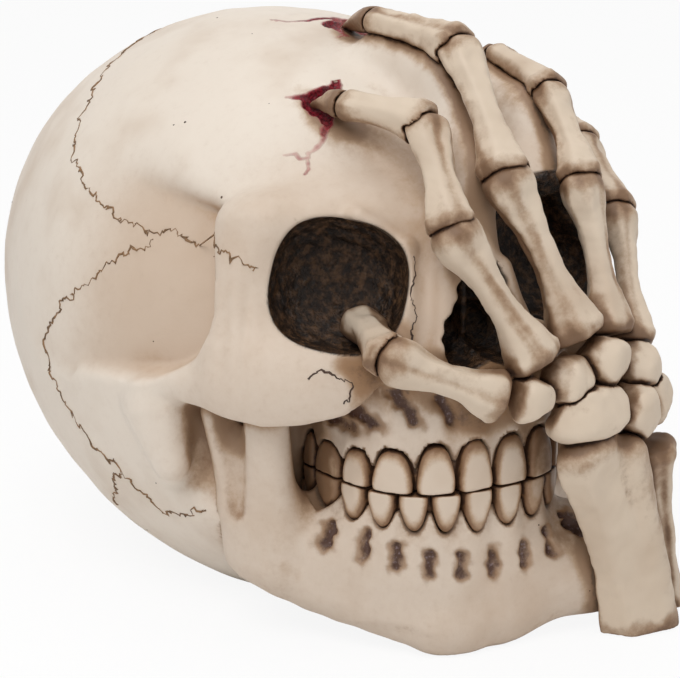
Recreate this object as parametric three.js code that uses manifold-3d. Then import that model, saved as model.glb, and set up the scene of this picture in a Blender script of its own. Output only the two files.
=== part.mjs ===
// A painted cast-resin skull ornament, gripped from the front by a skeletal hand.
// Millimetres, +Z up. The face looks along -Y, the skull's left side is +X, and the origin lies
// on the standing surface, straight below the middle of the cranial vault.
import * as THREE from 'three';
import { mergeVertices } from 'three/addons/utils/BufferGeometryUtils.js';
import Module from 'manifold-3d';

const wasm = await Module();
wasm.setup();

// Clearance of the glue line between neighbouring castings
const GLUE_GAP = 0.3;

// Cranial vault: an egg that lies tilted, back end up, and is cut flat where it stands
const VAULT_HALF_WIDTH = 71.3;
const VAULT_HALF_LENGTH = 89.5;
const VAULT_HALF_HEIGHT = 72.8;
const VAULT_CENTRE_HEIGHT = 67;
const VAULT_TILT = 11;
const VAULT_REAR_STRETCH = 7.5;
const VAULT_REAR_DROOP = 2;

// The lift of a place over the plain vault counts in these steps
const LIFT_STEP = 1;

// Relief of the face and the sides of the skull
const BROW_RADIUS = 6;
const PILLAR_RADIUS = 5.5;
const CHEEK_HALF_WIDTH = 17;
const CHEEK_HALF_HEIGHT = 11;
const CHEEK_HALF_DEPTH = 9;
const ARCH_BAR_RADIUS = 6;
const NASAL_RADIUS = 6.5;
const MAXILLA_HALF_WIDTH = 30;
const MAXILLA_HALF_HEIGHT = 16;
const MAXILLA_HALF_DEPTH = 21;
const MASTOID_HALF_WIDTH = 11;
const MASTOID_HALF_HEIGHT = 15;
const MASTOID_HALF_DEPTH = 9;
const TEMPLE_HALF_WIDTH = 25;
const TEMPLE_HALF_HEIGHT = 27;
const TEMPLE_HALF_DEPTH = 15;
const CHEEK_HOLLOW_HALF_WIDTH = 21;
const CHEEK_HOLLOW_HALF_HEIGHT = 19;
const CHEEK_HOLLOW_HALF_DEPTH = 14;

// Eye sockets and nose opening
const SOCKET_HALF_WIDTH = 16.2;
const SOCKET_HALF_HEIGHT = 16;
const SOCKET_HALF_DEPTH = 17;
const NOSE_HALF_WIDTH = 11.5;
const NOSE_LOWER_HALF_HEIGHT = 9;
const NOSE_UPPER_HALF_WIDTH = 7;
const NOSE_UPPER_HALF_HEIGHT = 12;
const NOSE_HALF_DEPTH = 18;
const SOCKET_PLACE = [23, 16.6, 0];
const NOSE_LOWER_PLACE = [0, 4.5, 1];
const NOSE_UPPER_PLACE = [0, 9, 2];

// Tooth rows, on a square-fronted half oval seen from above
const BITE_HEIGHT = 41.5;
const TOOTH_ROW_HALF_WIDTH = 29;
const TOOTH_ROW_LENGTH = 40;
const TOOTH_ROW_SQUARENESS = 3;
const TOOTH_ROW_LIFT = 6;
const TEETH_PER_ROW = 12;
const TOOTH_THICKNESS = 6;
const UPPER_TOOTH_HEIGHT = 13;
const LOWER_TOOTH_HEIGHT = 14;
const TOOTH_BAND_THICKNESS = 3;
const TOOTH_ROW_ROOT = 3;
const TOOTH_FRONT_LATITUDE = -16;
const TOOTH_AROUND = 8;
const TOOTH_RINGS = 6;
const GUM_SWELL = 1.5;
const MOUTH_DEPTH = 9;

// Lower jaw
const JAW_BODY_HALF_THICKNESS = 8.5;
const JAW_BODY_HALF_HEIGHT = 13.5;
const CHIN_RADIUS = 8;
const RAMUS_HALF_WIDTH = 11;
const RAMUS_HALF_HEIGHT = 25;
const RAMUS_HALF_DEPTH = 7;
const RAMUS_PLACE = [40, -26, 0];

// Finger bones: end and shaft radii of each row; a finger's girth multiplies them
const METACARPAL_END_RADIUS = 6.6;
const METACARPAL_SHAFT_RADIUS = 4.1;
const PROXIMAL_END_RADIUS = 6.2;
const PROXIMAL_SHAFT_RADIUS = 4.3;
const MIDDLE_END_RADIUS = 5.4;
const MIDDLE_SHAFT_RADIUS = 3.6;
const DISTAL_END_RADIUS = 4.4;
const DISTAL_SHAFT_RADIUS = 3;
const DISTAL_TIP_RADIUS = 1.8;
const THUMB_END_RADIUS = 5.8;
const THUMB_SHAFT_RADIUS = 4.5;
const THUMB_PHALANX_END_RADIUS = 5.4;
const THUMB_PHALANX_SHAFT_RADIUS = 3.9;

// Forearm stubs
const RADIUS_TOP_HALF_WIDTH = 11.5;
const RADIUS_WAIST_HALF_WIDTH = 9.2;
const RADIUS_FOOT_HALF_WIDTH = 10.4;
const RADIUS_FLATNESS = 0.68;
const ULNA_TOP_RADIUS = 6.5;
const ULNA_SHAFT_RADIUS = 4.8;
const ULNA_FOOT_RADIUS = 5.6;

// How finely round forms are divided
const SKULL_AROUND = 52;
const SKULL_RINGS = 36;
const JAW_AROUND = 36;
const JAW_RINGS = 20;
const BONE_SIDES = 9;
const LUMP_AROUND = 12;
const LUMP_RINGS = 8;

// Softness of the blends between relief forms
const WIDE_BLEND = 9;
const CLOSE_BLEND = 5;

// Colours of the painted finish
const IVORY = { color: 0xd8cab6, roughness: 0.55, metalness: 0 };
const TOOTH_IVORY = { color: 0xe2d6c2, roughness: 0.45, metalness: 0 };
const BONE_IVORY = { color: 0xcfbda2, roughness: 0.55, metalness: 0 };

// Places on the skull are a longitude from the face's midline (+ to the skull's left), a latitude
// seen from the vault's centre, and a lift over the plain vault.
const degrees = THREE.MathUtils.degToRad;
const vaultCentre = new THREE.Vector3(0, 0, VAULT_CENTRE_HEIGHT);
const tilt = degrees(VAULT_TILT);

function vaultAxes(vector) {
  const along = vector.y * Math.cos(tilt) + vector.z * Math.sin(tilt);
  const across = -vector.y * Math.sin(tilt) + vector.z * Math.cos(tilt);
  return [vector.x / VAULT_HALF_WIDTH, along / VAULT_HALF_LENGTH, across / VAULT_HALF_HEIGHT];
}

function outward(longitude, latitude) {
  const east = degrees(longitude);
  const north = degrees(latitude);
  return new THREE.Vector3(
    Math.sin(east) * Math.cos(north), -Math.cos(east) * Math.cos(north), Math.sin(north));
}

function onSkull([longitude, latitude, lift]) {
  const direction = outward(longitude, latitude);
  const reach = 1 / Math.hypot(...vaultAxes(direction));
  return vaultCentre.clone().addScaledVector(direction, reach + lift * LIFT_STEP);
}

// Distance fields of the relief forms
function ellipsoidDistance(parts, radii) {
  const scaled = parts.map((part, axis) => part / radii[axis]);
  const ratio = Math.hypot(...scaled);
  const slope = Math.hypot(...scaled.map((part, axis) => part / radii[axis])) + 1e-9;
  return ratio * (ratio - 1) / slope;
}

function vaultDistance(point) {
  const behind = Math.max(point.y, 0) / VAULT_HALF_LENGTH;
  const rear = new THREE.Vector3(0, VAULT_REAR_STRETCH, -VAULT_REAR_DROOP);
  const scaled = vaultAxes(point.clone().sub(vaultCentre).addScaledVector(rear, -behind * behind));
  const radii = [VAULT_HALF_WIDTH, VAULT_HALF_LENGTH, VAULT_HALF_HEIGHT];
  return ellipsoidDistance(scaled.map((part, axis) => part * radii[axis]), radii);
}

function lumpFrame(longitude, latitude) {
  const out = outward(longitude, latitude);
  const side = new THREE.Vector3(0, 0, 1).cross(out).normalize();
  const top = out.clone().cross(side);
  return { side, top, out };
}

function lump(place, halfWidth, halfHeight, halfDepth) {
  const centre = onSkull(place);
  const { side, top, out } = lumpFrame(place[0], place[1]);
  return (point) => {
    const from = point.clone().sub(centre);
    const parts = [from.dot(side), from.dot(top), from.dot(out)];
    return ellipsoidDistance(parts, [halfWidth, halfHeight, halfDepth]);
  };
}

function rod(placeA, placeB, radiusA, radiusB, tall = 1) {
  const squash = new THREE.Vector3(1, 1, 1 / tall);
  const start = onSkull(placeA).multiply(squash);
  const span = onSkull(placeB).multiply(squash).sub(start);
  return (point) => {
    const from = point.clone().multiply(squash).sub(start);
    const along = THREE.MathUtils.clamp(from.dot(span) / span.lengthSq(), 0, 1);
    return from.addScaledVector(span, -along).length() - (radiusA + (radiusB - radiusA) * along);
  };
}

function smoothMin(a, b, blend) {
  const near = Math.max(blend - Math.abs(a - b), 0) / blend;
  return Math.min(a, b) - near * near * blend / 4;
}

const smoothMax = (a, b, blend) => -smoothMin(-a, -b, blend);

// The relief of the right half; the left half mirrors it
const brow = rod([-6.5, 27.5, -4.5], [-35, 28.5, 1], BROW_RADIUS, BROW_RADIUS);
const pillar = rod([-41.5, 28, 1], [-40.5, 5.5, -4], PILLAR_RADIUS, PILLAR_RADIUS);
const temple = lump([-63, 17, 4], TEMPLE_HALF_WIDTH, TEMPLE_HALF_HEIGHT, TEMPLE_HALF_DEPTH);
const cheek = lump([-31, -1.5, -5], CHEEK_HALF_WIDTH, CHEEK_HALF_HEIGHT, CHEEK_HALF_DEPTH);
const archBar = rod([-39.5, -3, -4], [-58.5, -5.5, -3.5], ARCH_BAR_RADIUS, ARCH_BAR_RADIUS);
const nasal = rod([0, 24, -6.5], [0, 11.5, -1], NASAL_RADIUS, NASAL_RADIUS);
const maxilla = lump([0, -2.5, -25], MAXILLA_HALF_WIDTH, MAXILLA_HALF_HEIGHT, MAXILLA_HALF_DEPTH);
const mastoid = lump([-60.5, -19.5, -6], MASTOID_HALF_WIDTH, MASTOID_HALF_HEIGHT, MASTOID_HALF_DEPTH);
const cheekHollow = lump(
  [-40, -21, 0], CHEEK_HOLLOW_HALF_WIDTH, CHEEK_HOLLOW_HALF_HEIGHT, CHEEK_HOLLOW_HALF_DEPTH);

// The tooth row's centre line: x across, y measured from the row's back end
const biteFront = onSkull([0, TOOTH_FRONT_LATITUDE, TOOTH_ROW_LIFT]);
const toothRowBack = biteFront.y + TOOTH_ROW_LENGTH;

function toothRowDistance(point) {
  const x = Math.abs(point.x) / TOOTH_ROW_HALF_WIDTH;
  const y = Math.max(toothRowBack - point.y, 0) / TOOTH_ROW_LENGTH;
  const ratio = (x ** TOOTH_ROW_SQUARENESS + y ** TOOTH_ROW_SQUARENESS) ** (1 / TOOTH_ROW_SQUARENESS);
  return (ratio - 1) * Math.min(TOOTH_ROW_HALF_WIDTH, TOOTH_ROW_LENGTH);
}

// The gum over the upper teeth, and the mouth space that both rows stand in
const upperGumHeight = BITE_HEIGHT + UPPER_TOOTH_HEIGHT;
const lowerGumHeight = BITE_HEIGHT - LOWER_TOOTH_HEIGHT;

function gumDistance(point) {
  const inside = toothRowDistance(point) - GUM_SWELL;
  const below = upperGumHeight - CLOSE_BLEND / 2 - point.z;
  const above = point.z - upperGumHeight - MAXILLA_HALF_HEIGHT;
  return Math.max(inside, below, above, point.y - toothRowBack);
}

function mouthDistance(point) {
  const outside = -MOUTH_DEPTH - toothRowDistance(point);
  const above = point.z - upperGumHeight;
  const below = lowerGumHeight - JAW_BODY_HALF_HEIGHT - point.z;
  return Math.max(outside, above, below, point.y - toothRowBack);
}

function skullDistance(point) {
  const right = new THREE.Vector3(-Math.abs(point.x), point.y, point.z);
  let distance = vaultDistance(right);
  distance = smoothMin(distance, brow(right), WIDE_BLEND);
  distance = smoothMin(distance, pillar(right), WIDE_BLEND);
  distance = smoothMax(distance, -temple(right), CLOSE_BLEND);
  distance = smoothMin(distance, nasal(right), WIDE_BLEND);
  distance = smoothMin(distance, maxilla(right), WIDE_BLEND);
  distance = smoothMax(distance, -cheekHollow(right), CLOSE_BLEND);
  distance = smoothMax(distance, -mouthDistance(right), CLOSE_BLEND);
  distance = smoothMin(distance, gumDistance(right), CLOSE_BLEND);
  distance = smoothMin(distance, cheek(right), CLOSE_BLEND);
  distance = smoothMin(distance, archBar(right), CLOSE_BLEND);
  return smoothMin(distance, mastoid(right), CLOSE_BLEND);
}

const jawPlaces = [[0, -33, 13.5], [-13, -34, 12], [-27.5, -36.5, 5], [-38.5, -37.5, 0]];
const jawTall = JAW_BODY_HALF_HEIGHT / JAW_BODY_HALF_THICKNESS;
const jawRods = jawPlaces.slice(1).map((place, index) => rod(
  jawPlaces[index], place, JAW_BODY_HALF_THICKNESS, JAW_BODY_HALF_THICKNESS, jawTall));
const chin = lump([0, -37, 19], CHIN_RADIUS, CHIN_RADIUS, CHIN_RADIUS);

function jawDistance(point) {
  const right = new THREE.Vector3(-Math.abs(point.x), point.y, point.z);
  const body = jawRods.map((bar) => bar(right)).reduce((a, b) => smoothMin(a, b, CLOSE_BLEND));
  return smoothMin(body, chin(right), CLOSE_BLEND);
}

// Solids and their booleans
function solid(geometry) {
  const bare = geometry.clone();
  bare.deleteAttribute('normal');
  bare.deleteAttribute('uv');
  const merged = mergeVertices(bare, 1e-4);
  return new wasm.Manifold(new wasm.Mesh({
    numProp: 3,
    vertProperties: new Float32Array(merged.attributes.position.array),
    triVerts: new Uint32Array(merged.index.array),
  }));
}

function namedMesh(name, body, finish) {
  const { vertProperties, triVerts } = body.getMesh();
  const geometry = new THREE.BufferGeometry();
  geometry.setAttribute('position', new THREE.BufferAttribute(vertProperties, 3));
  geometry.setIndex(new THREE.BufferAttribute(triVerts, 1));
  geometry.computeVertexNormals();
  const mesh = new THREE.Mesh(geometry, new THREE.MeshStandardMaterial(finish));
  mesh.name = name;
  return mesh;
}

// A big block that fills everything on the far side of a plane
const BLOCK = 400;

function beyond(point, normal) {
  const block = new THREE.BoxGeometry(BLOCK, BLOCK, BLOCK).translate(0, 0, BLOCK / 2);
  const turn = new THREE.Quaternion().setFromUnitVectors(new THREE.Vector3(0, 0, 1), normal);
  return solid(block.applyQuaternion(turn).translate(point.x, point.y, point.z));
}

const underground = beyond(new THREE.Vector3(), new THREE.Vector3(0, 0, -1));

// A ball drawn onto a distance field from one centre. Its pole is on the face, where its rings crowd.
const POLE_CROWDING = 0.4;
const SEARCH_STEP = 2;
const SEARCH_HALVINGS = 14;

function wrapped(field, centre, around, rings, farthest, nearest, offset) {
  const ball = new THREE.SphereGeometry(1, around, rings).rotateX(Math.PI / 2);
  const position = ball.attributes.position;
  const direction = new THREE.Vector3();
  const point = new THREE.Vector3();
  const outside = (reach) => field(point.copy(centre).addScaledVector(direction, reach)) > offset;
  for (let index = 0; index < position.count; index += 1) {
    direction.fromBufferAttribute(position, index);
    const polar = Math.acos(THREE.MathUtils.clamp(-direction.y, -1, 1)) / Math.PI;
    const closer = Math.PI * polar * (1 - POLE_CROWDING + POLE_CROWDING * polar);
    const flat = Math.hypot(direction.x, direction.z) || 1;
    const spread = Math.sin(closer) / flat;
    direction.set(direction.x * spread, -Math.cos(closer), direction.z * spread);
    let high = farthest;
    while (high > nearest && outside(high)) high -= SEARCH_STEP;
    let low = Math.max(high, nearest);
    high = low + SEARCH_STEP;
    for (let step = 0; step < SEARCH_HALVINGS && low > nearest; step += 1) {
      const middle = (low + high) / 2;
      if (outside(middle)) high = middle;
      else low = middle;
    }
    point.copy(centre).addScaledVector(direction, low);
    position.setXYZ(index, point.x, point.y, point.z);
  }
  return solid(ball);
}

// An ellipsoid placed on the skull
function blob(place, halfWidth, halfHeight, halfDepth, grow = 0) {
  const { side, top, out } = lumpFrame(place[0], place[1]);
  const matrix = new THREE.Matrix4().makeBasis(side, top, out).setPosition(onSkull(place));
  const ball = new THREE.SphereGeometry(1, LUMP_AROUND, LUMP_RINGS);
  return solid(ball.scale(halfWidth + grow, halfHeight + grow, halfDepth + grow).applyMatrix4(matrix));
}

// A turned bone between two points. insets say how far each end ball's centre lies inside its point.
// Each ball shows a dome towards its point and a flare towards the shaft, which begins at a neck.
const DOME_ANGLE = degrees(45);
const FLARE_ANGLE = degrees(35);
const NECK_REACH = 1.7;
const NECK_LIMIT = 0.42;

function bone(start, end, radii, insets, grow = 0, flatness = 1) {
  const [startRadius, shaftRadius, endRadius] = radii;
  const span = end.clone().sub(start);
  const startCentre = insets[0];
  const endCentre = span.length() - insets[1];
  const neckA = startCentre + Math.min(startRadius * NECK_REACH, (endCentre - startCentre) * NECK_LIMIT);
  const neckB = endCentre - Math.min(endRadius * NECK_REACH, (endCentre - startCentre) * NECK_LIMIT);
  const profile = [
    [-grow, startCentre - startRadius - grow],
    [startRadius * Math.sin(DOME_ANGLE), startCentre - startRadius * Math.cos(DOME_ANGLE)],
    [startRadius, startCentre],
    [startRadius * Math.cos(FLARE_ANGLE), startCentre + startRadius * Math.sin(FLARE_ANGLE)],
    [shaftRadius, neckA],
    [shaftRadius, (neckA + neckB) / 2],
    [shaftRadius, neckB],
    [endRadius * Math.cos(FLARE_ANGLE), endCentre - endRadius * Math.sin(FLARE_ANGLE)],
    [endRadius, endCentre],
    [endRadius * Math.sin(DOME_ANGLE), endCentre + endRadius * Math.cos(DOME_ANGLE)],
    [-grow, endCentre + endRadius + grow],
  ].map(([across, along]) => new THREE.Vector2(across + grow, along));
  const along = span.clone().normalize();
  const wide = new THREE.Vector3(0, 0, 1).cross(onFace(start)).projectOnPlane(along).normalize();
  const deep = wide.clone().cross(along);
  const matrix = new THREE.Matrix4().makeBasis(wide, along, deep).setPosition(start);
  const lathe = new THREE.LatheGeometry(profile, BONE_SIDES).scale(1, 1, flatness);
  return solid(lathe.applyMatrix4(matrix));
}

// The direction from the vault's centre out to a point, which faces a bone's back
function onFace(point) {
  return point.clone().sub(vaultCentre).normalize();
}

// Skull and jaw
const FARTHEST = 2 * Math.max(VAULT_HALF_LENGTH, VAULT_HALF_WIDTH, VAULT_HALF_HEIGHT);
const SKULL_CORE = 20;
const JAW_CORE = 4;

function skullSkin(offset) {
  return wrapped(skullDistance, vaultCentre, SKULL_AROUND, SKULL_RINGS, FARTHEST, SKULL_CORE, offset);
}

function socket(side) {
  const [longitude, latitude, lift] = SOCKET_PLACE;
  const place = [side * longitude, latitude, lift];
  return blob(place, SOCKET_HALF_WIDTH, SOCKET_HALF_HEIGHT, SOCKET_HALF_DEPTH);
}

function noseOpening() {
  const lower = blob(NOSE_LOWER_PLACE, NOSE_HALF_WIDTH, NOSE_LOWER_HALF_HEIGHT, NOSE_HALF_DEPTH);
  const upper = blob(NOSE_UPPER_PLACE, NOSE_UPPER_HALF_WIDTH, NOSE_UPPER_HALF_HEIGHT, NOSE_HALF_DEPTH);
  return lower.add(upper);
}

// A tooth row: pointed oval teeth side by side on a band that roots in the gum
function rowPoint(angle, offset) {
  const square = (part) => Math.sign(part) * Math.abs(part) ** (2 / TOOTH_ROW_SQUARENESS);
  const across = (TOOTH_ROW_HALF_WIDTH + offset) * square(Math.sin(angle));
  const ahead = (TOOTH_ROW_LENGTH + offset) * square(Math.max(Math.cos(angle), 0));
  return new THREE.Vector2(across, toothRowBack - ahead);
}

function toothRow(direction, height, grow = 0) {
  const bandInner = -TOOTH_THICKNESS / 2 - TOOTH_BAND_THICKNESS - grow;
  const bandOuter = -TOOTH_THICKNESS / 2 + TOOTH_BAND_THICKNESS / 2 + grow;
  const steps = TEETH_PER_ROW * 2;
  const angleAt = (step) => (step / steps - 0.5) * Math.PI;
  const outline = [];
  for (let step = 0; step <= steps; step += 1) outline.push(rowPoint(angleAt(step), bandOuter));
  for (let step = steps; step >= 0; step -= 1) outline.push(rowPoint(angleAt(step), bandInner));
  const biteFace = BITE_HEIGHT + direction * (GLUE_GAP / 2 - grow);
  const rootFace = BITE_HEIGHT + direction * (height + TOOTH_ROW_ROOT + grow);
  const band = new THREE.ExtrudeGeometry(new THREE.Shape(outline), {
    depth: Math.abs(rootFace - biteFace), bevelEnabled: false,
  });
  let row = solid(band.translate(0, 0, Math.min(biteFace, rootFace)));
  for (let tooth = 0; tooth < TEETH_PER_ROW; tooth += 1) {
    const angle = angleAt(tooth * 2 + 1);
    const middle = rowPoint(angle, -TOOTH_THICKNESS / 2);
    const left = rowPoint(angleAt(tooth * 2), -TOOTH_THICKNESS / 2);
    const right = rowPoint(angleAt(tooth * 2 + 2), -TOOTH_THICKNESS / 2);
    const crown = new THREE.SphereGeometry(1, TOOTH_AROUND, TOOTH_RINGS).rotateX(Math.PI / 2);
    crown.scale(left.distanceTo(right) / 2 + grow, TOOTH_THICKNESS / 2 + grow, height / 2 + grow);
    crown.rotateZ(Math.atan2(right.y - left.y, right.x - left.x));
    row = row.add(solid(crown.translate(middle.x, middle.y, BITE_HEIGHT + direction * height / 2)));
  }
  const bitePoint = new THREE.Vector3(0, 0, biteFace);
  return row.subtract(beyond(bitePoint, new THREE.Vector3(0, 0, -direction)));
}

// The hand: where each joint lies over the skull, from the wrist end to the tip
const METACARPAL = [METACARPAL_END_RADIUS, METACARPAL_SHAFT_RADIUS, METACARPAL_END_RADIUS];
const PROXIMAL = [PROXIMAL_END_RADIUS, PROXIMAL_SHAFT_RADIUS, MIDDLE_END_RADIUS];
const MIDDLE = [MIDDLE_END_RADIUS, MIDDLE_SHAFT_RADIUS, DISTAL_END_RADIUS];
const DISTAL = [DISTAL_END_RADIUS, DISTAL_SHAFT_RADIUS, DISTAL_TIP_RADIUS];
const THUMB_METACARPAL = [THUMB_END_RADIUS, THUMB_SHAFT_RADIUS, THUMB_END_RADIUS];
const THUMB_PHALANX = [
  THUMB_PHALANX_END_RADIUS, THUMB_PHALANX_SHAFT_RADIUS, THUMB_PHALANX_END_RADIUS];

const fingerRows = [
  ['metacarpal', METACARPAL], ['proximal', PROXIMAL], ['middle', MIDDLE], ['distal', DISTAL]];
const thumbRows = [['metacarpal', THUMB_METACARPAL], ['phalanx', THUMB_PHALANX]];

const digits = [
  { name: 'thumb', girth: 1, rows: thumbRows, joints: [[-3.5, 0, 10], [-17.5, 6, 8.5], [-17.7, 11.2, -18]] },
  { name: 'index', girth: 1, rows: fingerRows,
    joints: [[4, 3.5, 10.5], [-7, 23, 14], [-5.5, 39.5, 14.5], [-18.5, 48.5, 6], [-25.5, 55, -3]] },
  { name: 'middle', girth: 1.05, rows: fingerRows,
    joints: [[12.5, 5.5, 10.5], [6.5, 30, 12.5], [14, 52.5, 16], [12, 69.5, 8], [27.5, 78, -2.5]] },
  { name: 'ring', girth: 0.97, rows: fingerRows,
    joints: [[20, 4.5, 11.5], [24, 26.5, 13.5], [34.5, 41, 14.5], [49, 52, 9], [59, 54, -3]] },
  { name: 'little', girth: 0.9, rows: fingerRows,
    joints: [[26.5, 1.5, 12.5], [34.5, 20, 12.5], [48.5, 30.5, 9.5], [60, 36, 7], [68.5, 37, -3]] },
];

// Share of an end ball's radius by which its centre stays inside a finger joint
const JOINT_INSET = 0.62;

function digitBones({ name, girth, rows, joints }) {
  const points = joints.map(onSkull);
  const directions = rows.map((row, index) => points[index + 1].clone().sub(points[index]).normalize());
  return rows.map(([row, radii], index) => {
    const thick = radii.map((radius) => radius * girth);
    const last = index === rows.length - 1;
    const insets = [index === 0 ? 0 : thick[0] * JOINT_INSET, last ? thick[2] : thick[2] * JOINT_INSET];
    const trims = [];
    if (index > 0) {
      const normal = directions[index - 1].clone().add(directions[index]).normalize();
      trims.push([points[index], normal.negate()]);
    }
    if (!last) {
      const normal = directions[index].clone().add(directions[index + 1]).normalize();
      trims.push([points[index + 1], normal]);
    }
    const make = (grow) => trims.reduce(
      (body, [point, normal]) => body.subtract(
        beyond(point.clone().addScaledVector(normal, grow - GLUE_GAP / 2), normal)),
      bone(points[index], points[index + 1], thick, insets, grow));
    return { name: `${name}_${row}`, body: make(0), grown: make(GLUE_GAP) };
  });
}

// Forearm stubs, from the wrist down to the standing surface
function stub(name, topPlace, footPlace, radii, flatness) {
  const top = onSkull(topPlace);
  const foot = onSkull(footPlace).setZ(0);
  const make = (grow) => bone(top, foot, radii, [0, -radii[2]], grow, flatness).subtract(underground);
  return { name, body: make(0), grown: make(GLUE_GAP) };
}

const radiusWidths = [RADIUS_TOP_HALF_WIDTH, RADIUS_WAIST_HALF_WIDTH, RADIUS_FOOT_HALF_WIDTH];
const ulnaRadii = [ULNA_TOP_RADIUS, ULNA_SHAFT_RADIUS, ULNA_FOOT_RADIUS];
const forearm = [
  stub('radius', [14, -13, 17], [21, -32.5, 40], radiusWidths, RADIUS_FLATNESS),
  stub('ulna', [24.5, -11.5, 21.5], [32.5, -33, 41.5], ulnaRadii, 1),
];

// Wrist bones: place, half width, half height and half depth of each pebble
const wristPlan = [
  ['trapezium', [3, -2, 10.5], 6.5, 7.2, 6.4],
  ['trapezoid', [9, 0, 12], 7.4, 6.4, 6.6],
  ['capitate', [15.5, 0, 13.5], 8, 7.8, 7.2],
  ['hamate', [22, -1.5, 14.5], 7.4, 7.5, 7.2],
  ['scaphoid', [10, -5.5, 14.5], 11.5, 8, 7.2],
  ['lunate', [18.5, -6.5, 17], 8, 8, 7.2],
  ['triquetrum', [24, -6.5, 17.5], 7, 7.4, 6.8],
];

const fingers = digits.flatMap(digitBones);
const hand = [...fingers, ...forearm];

function cutBy(body, cutters) {
  return cutters.reduce((rest, cutter) => rest.subtract(cutter), body);
}

for (const [name, place, ...halves] of wristPlan) {
  const body = cutBy(blob(place, ...halves), hand.map((piece) => piece.grown));
  const grown = blob(place, ...halves, GLUE_GAP);
  hand.push({ name, body, grown });
}

const upperTeeth = toothRow(1, UPPER_TOOTH_HEIGHT);
const lowerTeeth = toothRow(-1, LOWER_TOOTH_HEIGHT);
const toothSeats = [
  toothRow(1, UPPER_TOOTH_HEIGHT, GLUE_GAP),
  toothRow(-1, LOWER_TOOTH_HEIGHT, GLUE_GAP),
];
const handSeats = hand.map((piece) => piece.grown);

const hollows = [socket(-1), socket(1), noseOpening()];
const cranium = cutBy(skullSkin(0), [underground, ...hollows, ...toothSeats, ...handSeats]);

// Each ramus is an upright plate behind the last teeth
const [ramusLongitude, ...ramusRest] = RAMUS_PLACE;
const ramusPlates = [-1, 1].map((side) => blob(
  [side * ramusLongitude, ...ramusRest], RAMUS_HALF_WIDTH, RAMUS_HALF_HEIGHT, RAMUS_HALF_DEPTH));

const jawCentre = new THREE.Vector3(0, toothRowBack, lowerGumHeight);
const jawBody = wrapped(jawDistance, jawCentre, JAW_AROUND, JAW_RINGS, FARTHEST, JAW_CORE, 0);
const mandible = cutBy(
  ramusPlates.reduce((body, plate) => body.add(plate), jawBody),
  [skullSkin(GLUE_GAP), underground, ...toothSeats, ...handSeats]);

const ornament = new THREE.Group();
ornament.add(namedMesh('cranium', cranium, IVORY));
ornament.add(namedMesh('mandible', mandible, IVORY));
ornament.add(namedMesh('upper_teeth', upperTeeth, TOOTH_IVORY));
ornament.add(namedMesh('lower_teeth', lowerTeeth, TOOTH_IVORY));
for (const { name, body } of hand) ornament.add(namedMesh(name, body, BONE_IVORY));

export default ornament;
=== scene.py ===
# %% [markdown]
# # A resin skull in the grip of a skeletal hand
# The ornament is a hand-painted resin casting: a skull seen from its right front, with a skeletal
# hand that reaches up from a forearm stub, puts its thumb in an eye socket and drives its fingertips
# into the forehead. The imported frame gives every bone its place. Here each bone is sculpted again as
# a smooth distance field, because bone has no flat faces and every form runs into the next one.

import functools
import itertools
import math

import bmesh
import bpy
import numpy as np
from mathutils import Matrix, Vector


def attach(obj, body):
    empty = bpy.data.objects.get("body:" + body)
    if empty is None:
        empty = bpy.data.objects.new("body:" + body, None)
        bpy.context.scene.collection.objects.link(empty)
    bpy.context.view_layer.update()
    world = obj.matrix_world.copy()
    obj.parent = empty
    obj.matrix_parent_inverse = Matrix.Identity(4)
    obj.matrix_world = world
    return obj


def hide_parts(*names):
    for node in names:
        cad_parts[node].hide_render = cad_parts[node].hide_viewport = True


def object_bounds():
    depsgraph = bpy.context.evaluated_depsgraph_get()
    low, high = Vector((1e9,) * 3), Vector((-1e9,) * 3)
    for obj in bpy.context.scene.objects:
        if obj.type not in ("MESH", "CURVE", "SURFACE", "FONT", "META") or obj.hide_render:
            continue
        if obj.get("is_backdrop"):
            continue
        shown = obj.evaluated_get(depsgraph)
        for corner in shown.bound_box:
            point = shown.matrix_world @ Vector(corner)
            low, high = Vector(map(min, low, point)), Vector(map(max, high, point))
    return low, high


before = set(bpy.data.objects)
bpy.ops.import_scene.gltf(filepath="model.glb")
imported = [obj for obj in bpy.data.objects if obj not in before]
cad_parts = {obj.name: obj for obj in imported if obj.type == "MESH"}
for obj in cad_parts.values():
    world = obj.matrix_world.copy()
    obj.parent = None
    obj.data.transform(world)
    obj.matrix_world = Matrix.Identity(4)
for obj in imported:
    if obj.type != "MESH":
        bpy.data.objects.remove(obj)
cad_low, cad_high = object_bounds()
scene = bpy.context.scene
scene.view_settings.view_transform = "Standard"

# %% [markdown]
# ## Camera, table and light
# The photograph looks at the skull from its right front and a little from above, through a long lens.
# The table and the world are white. One hard lamp would draw sharp shadows that the photograph doesn't
# have, so three wide lamps share the work: a key from the upper left that models the forms, a weak fill
# from the right, and one above that lights the crown.

# %% Camera
CAMERA_AZIMUTH = math.radians(-31)
CAMERA_ELEVATION = math.radians(16)
CAMERA_DISTANCE = 0.8
CAMERA_LENS = 163.9
SENSOR_WIDTH = 36
LOOK_AT = Vector((0.00758, -0.00815, 0.05627))

ahead = Vector((-math.sin(CAMERA_AZIMUTH) * math.cos(CAMERA_ELEVATION),
                math.cos(CAMERA_AZIMUTH) * math.cos(CAMERA_ELEVATION),
                -math.sin(CAMERA_ELEVATION)))
camera = bpy.data.objects.new("camera", bpy.data.cameras.new("camera"))
camera.data.sensor_fit = "HORIZONTAL"
camera.data.sensor_width = SENSOR_WIDTH
camera.data.lens = CAMERA_LENS
camera.location = LOOK_AT - ahead * CAMERA_DISTANCE
camera.rotation_euler = ahead.to_track_quat("-Z", "Y").to_euler()
scene.collection.objects.link(camera)
scene.camera = camera
print("camera at", tuple(round(value, 3) for value in camera.location))

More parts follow.
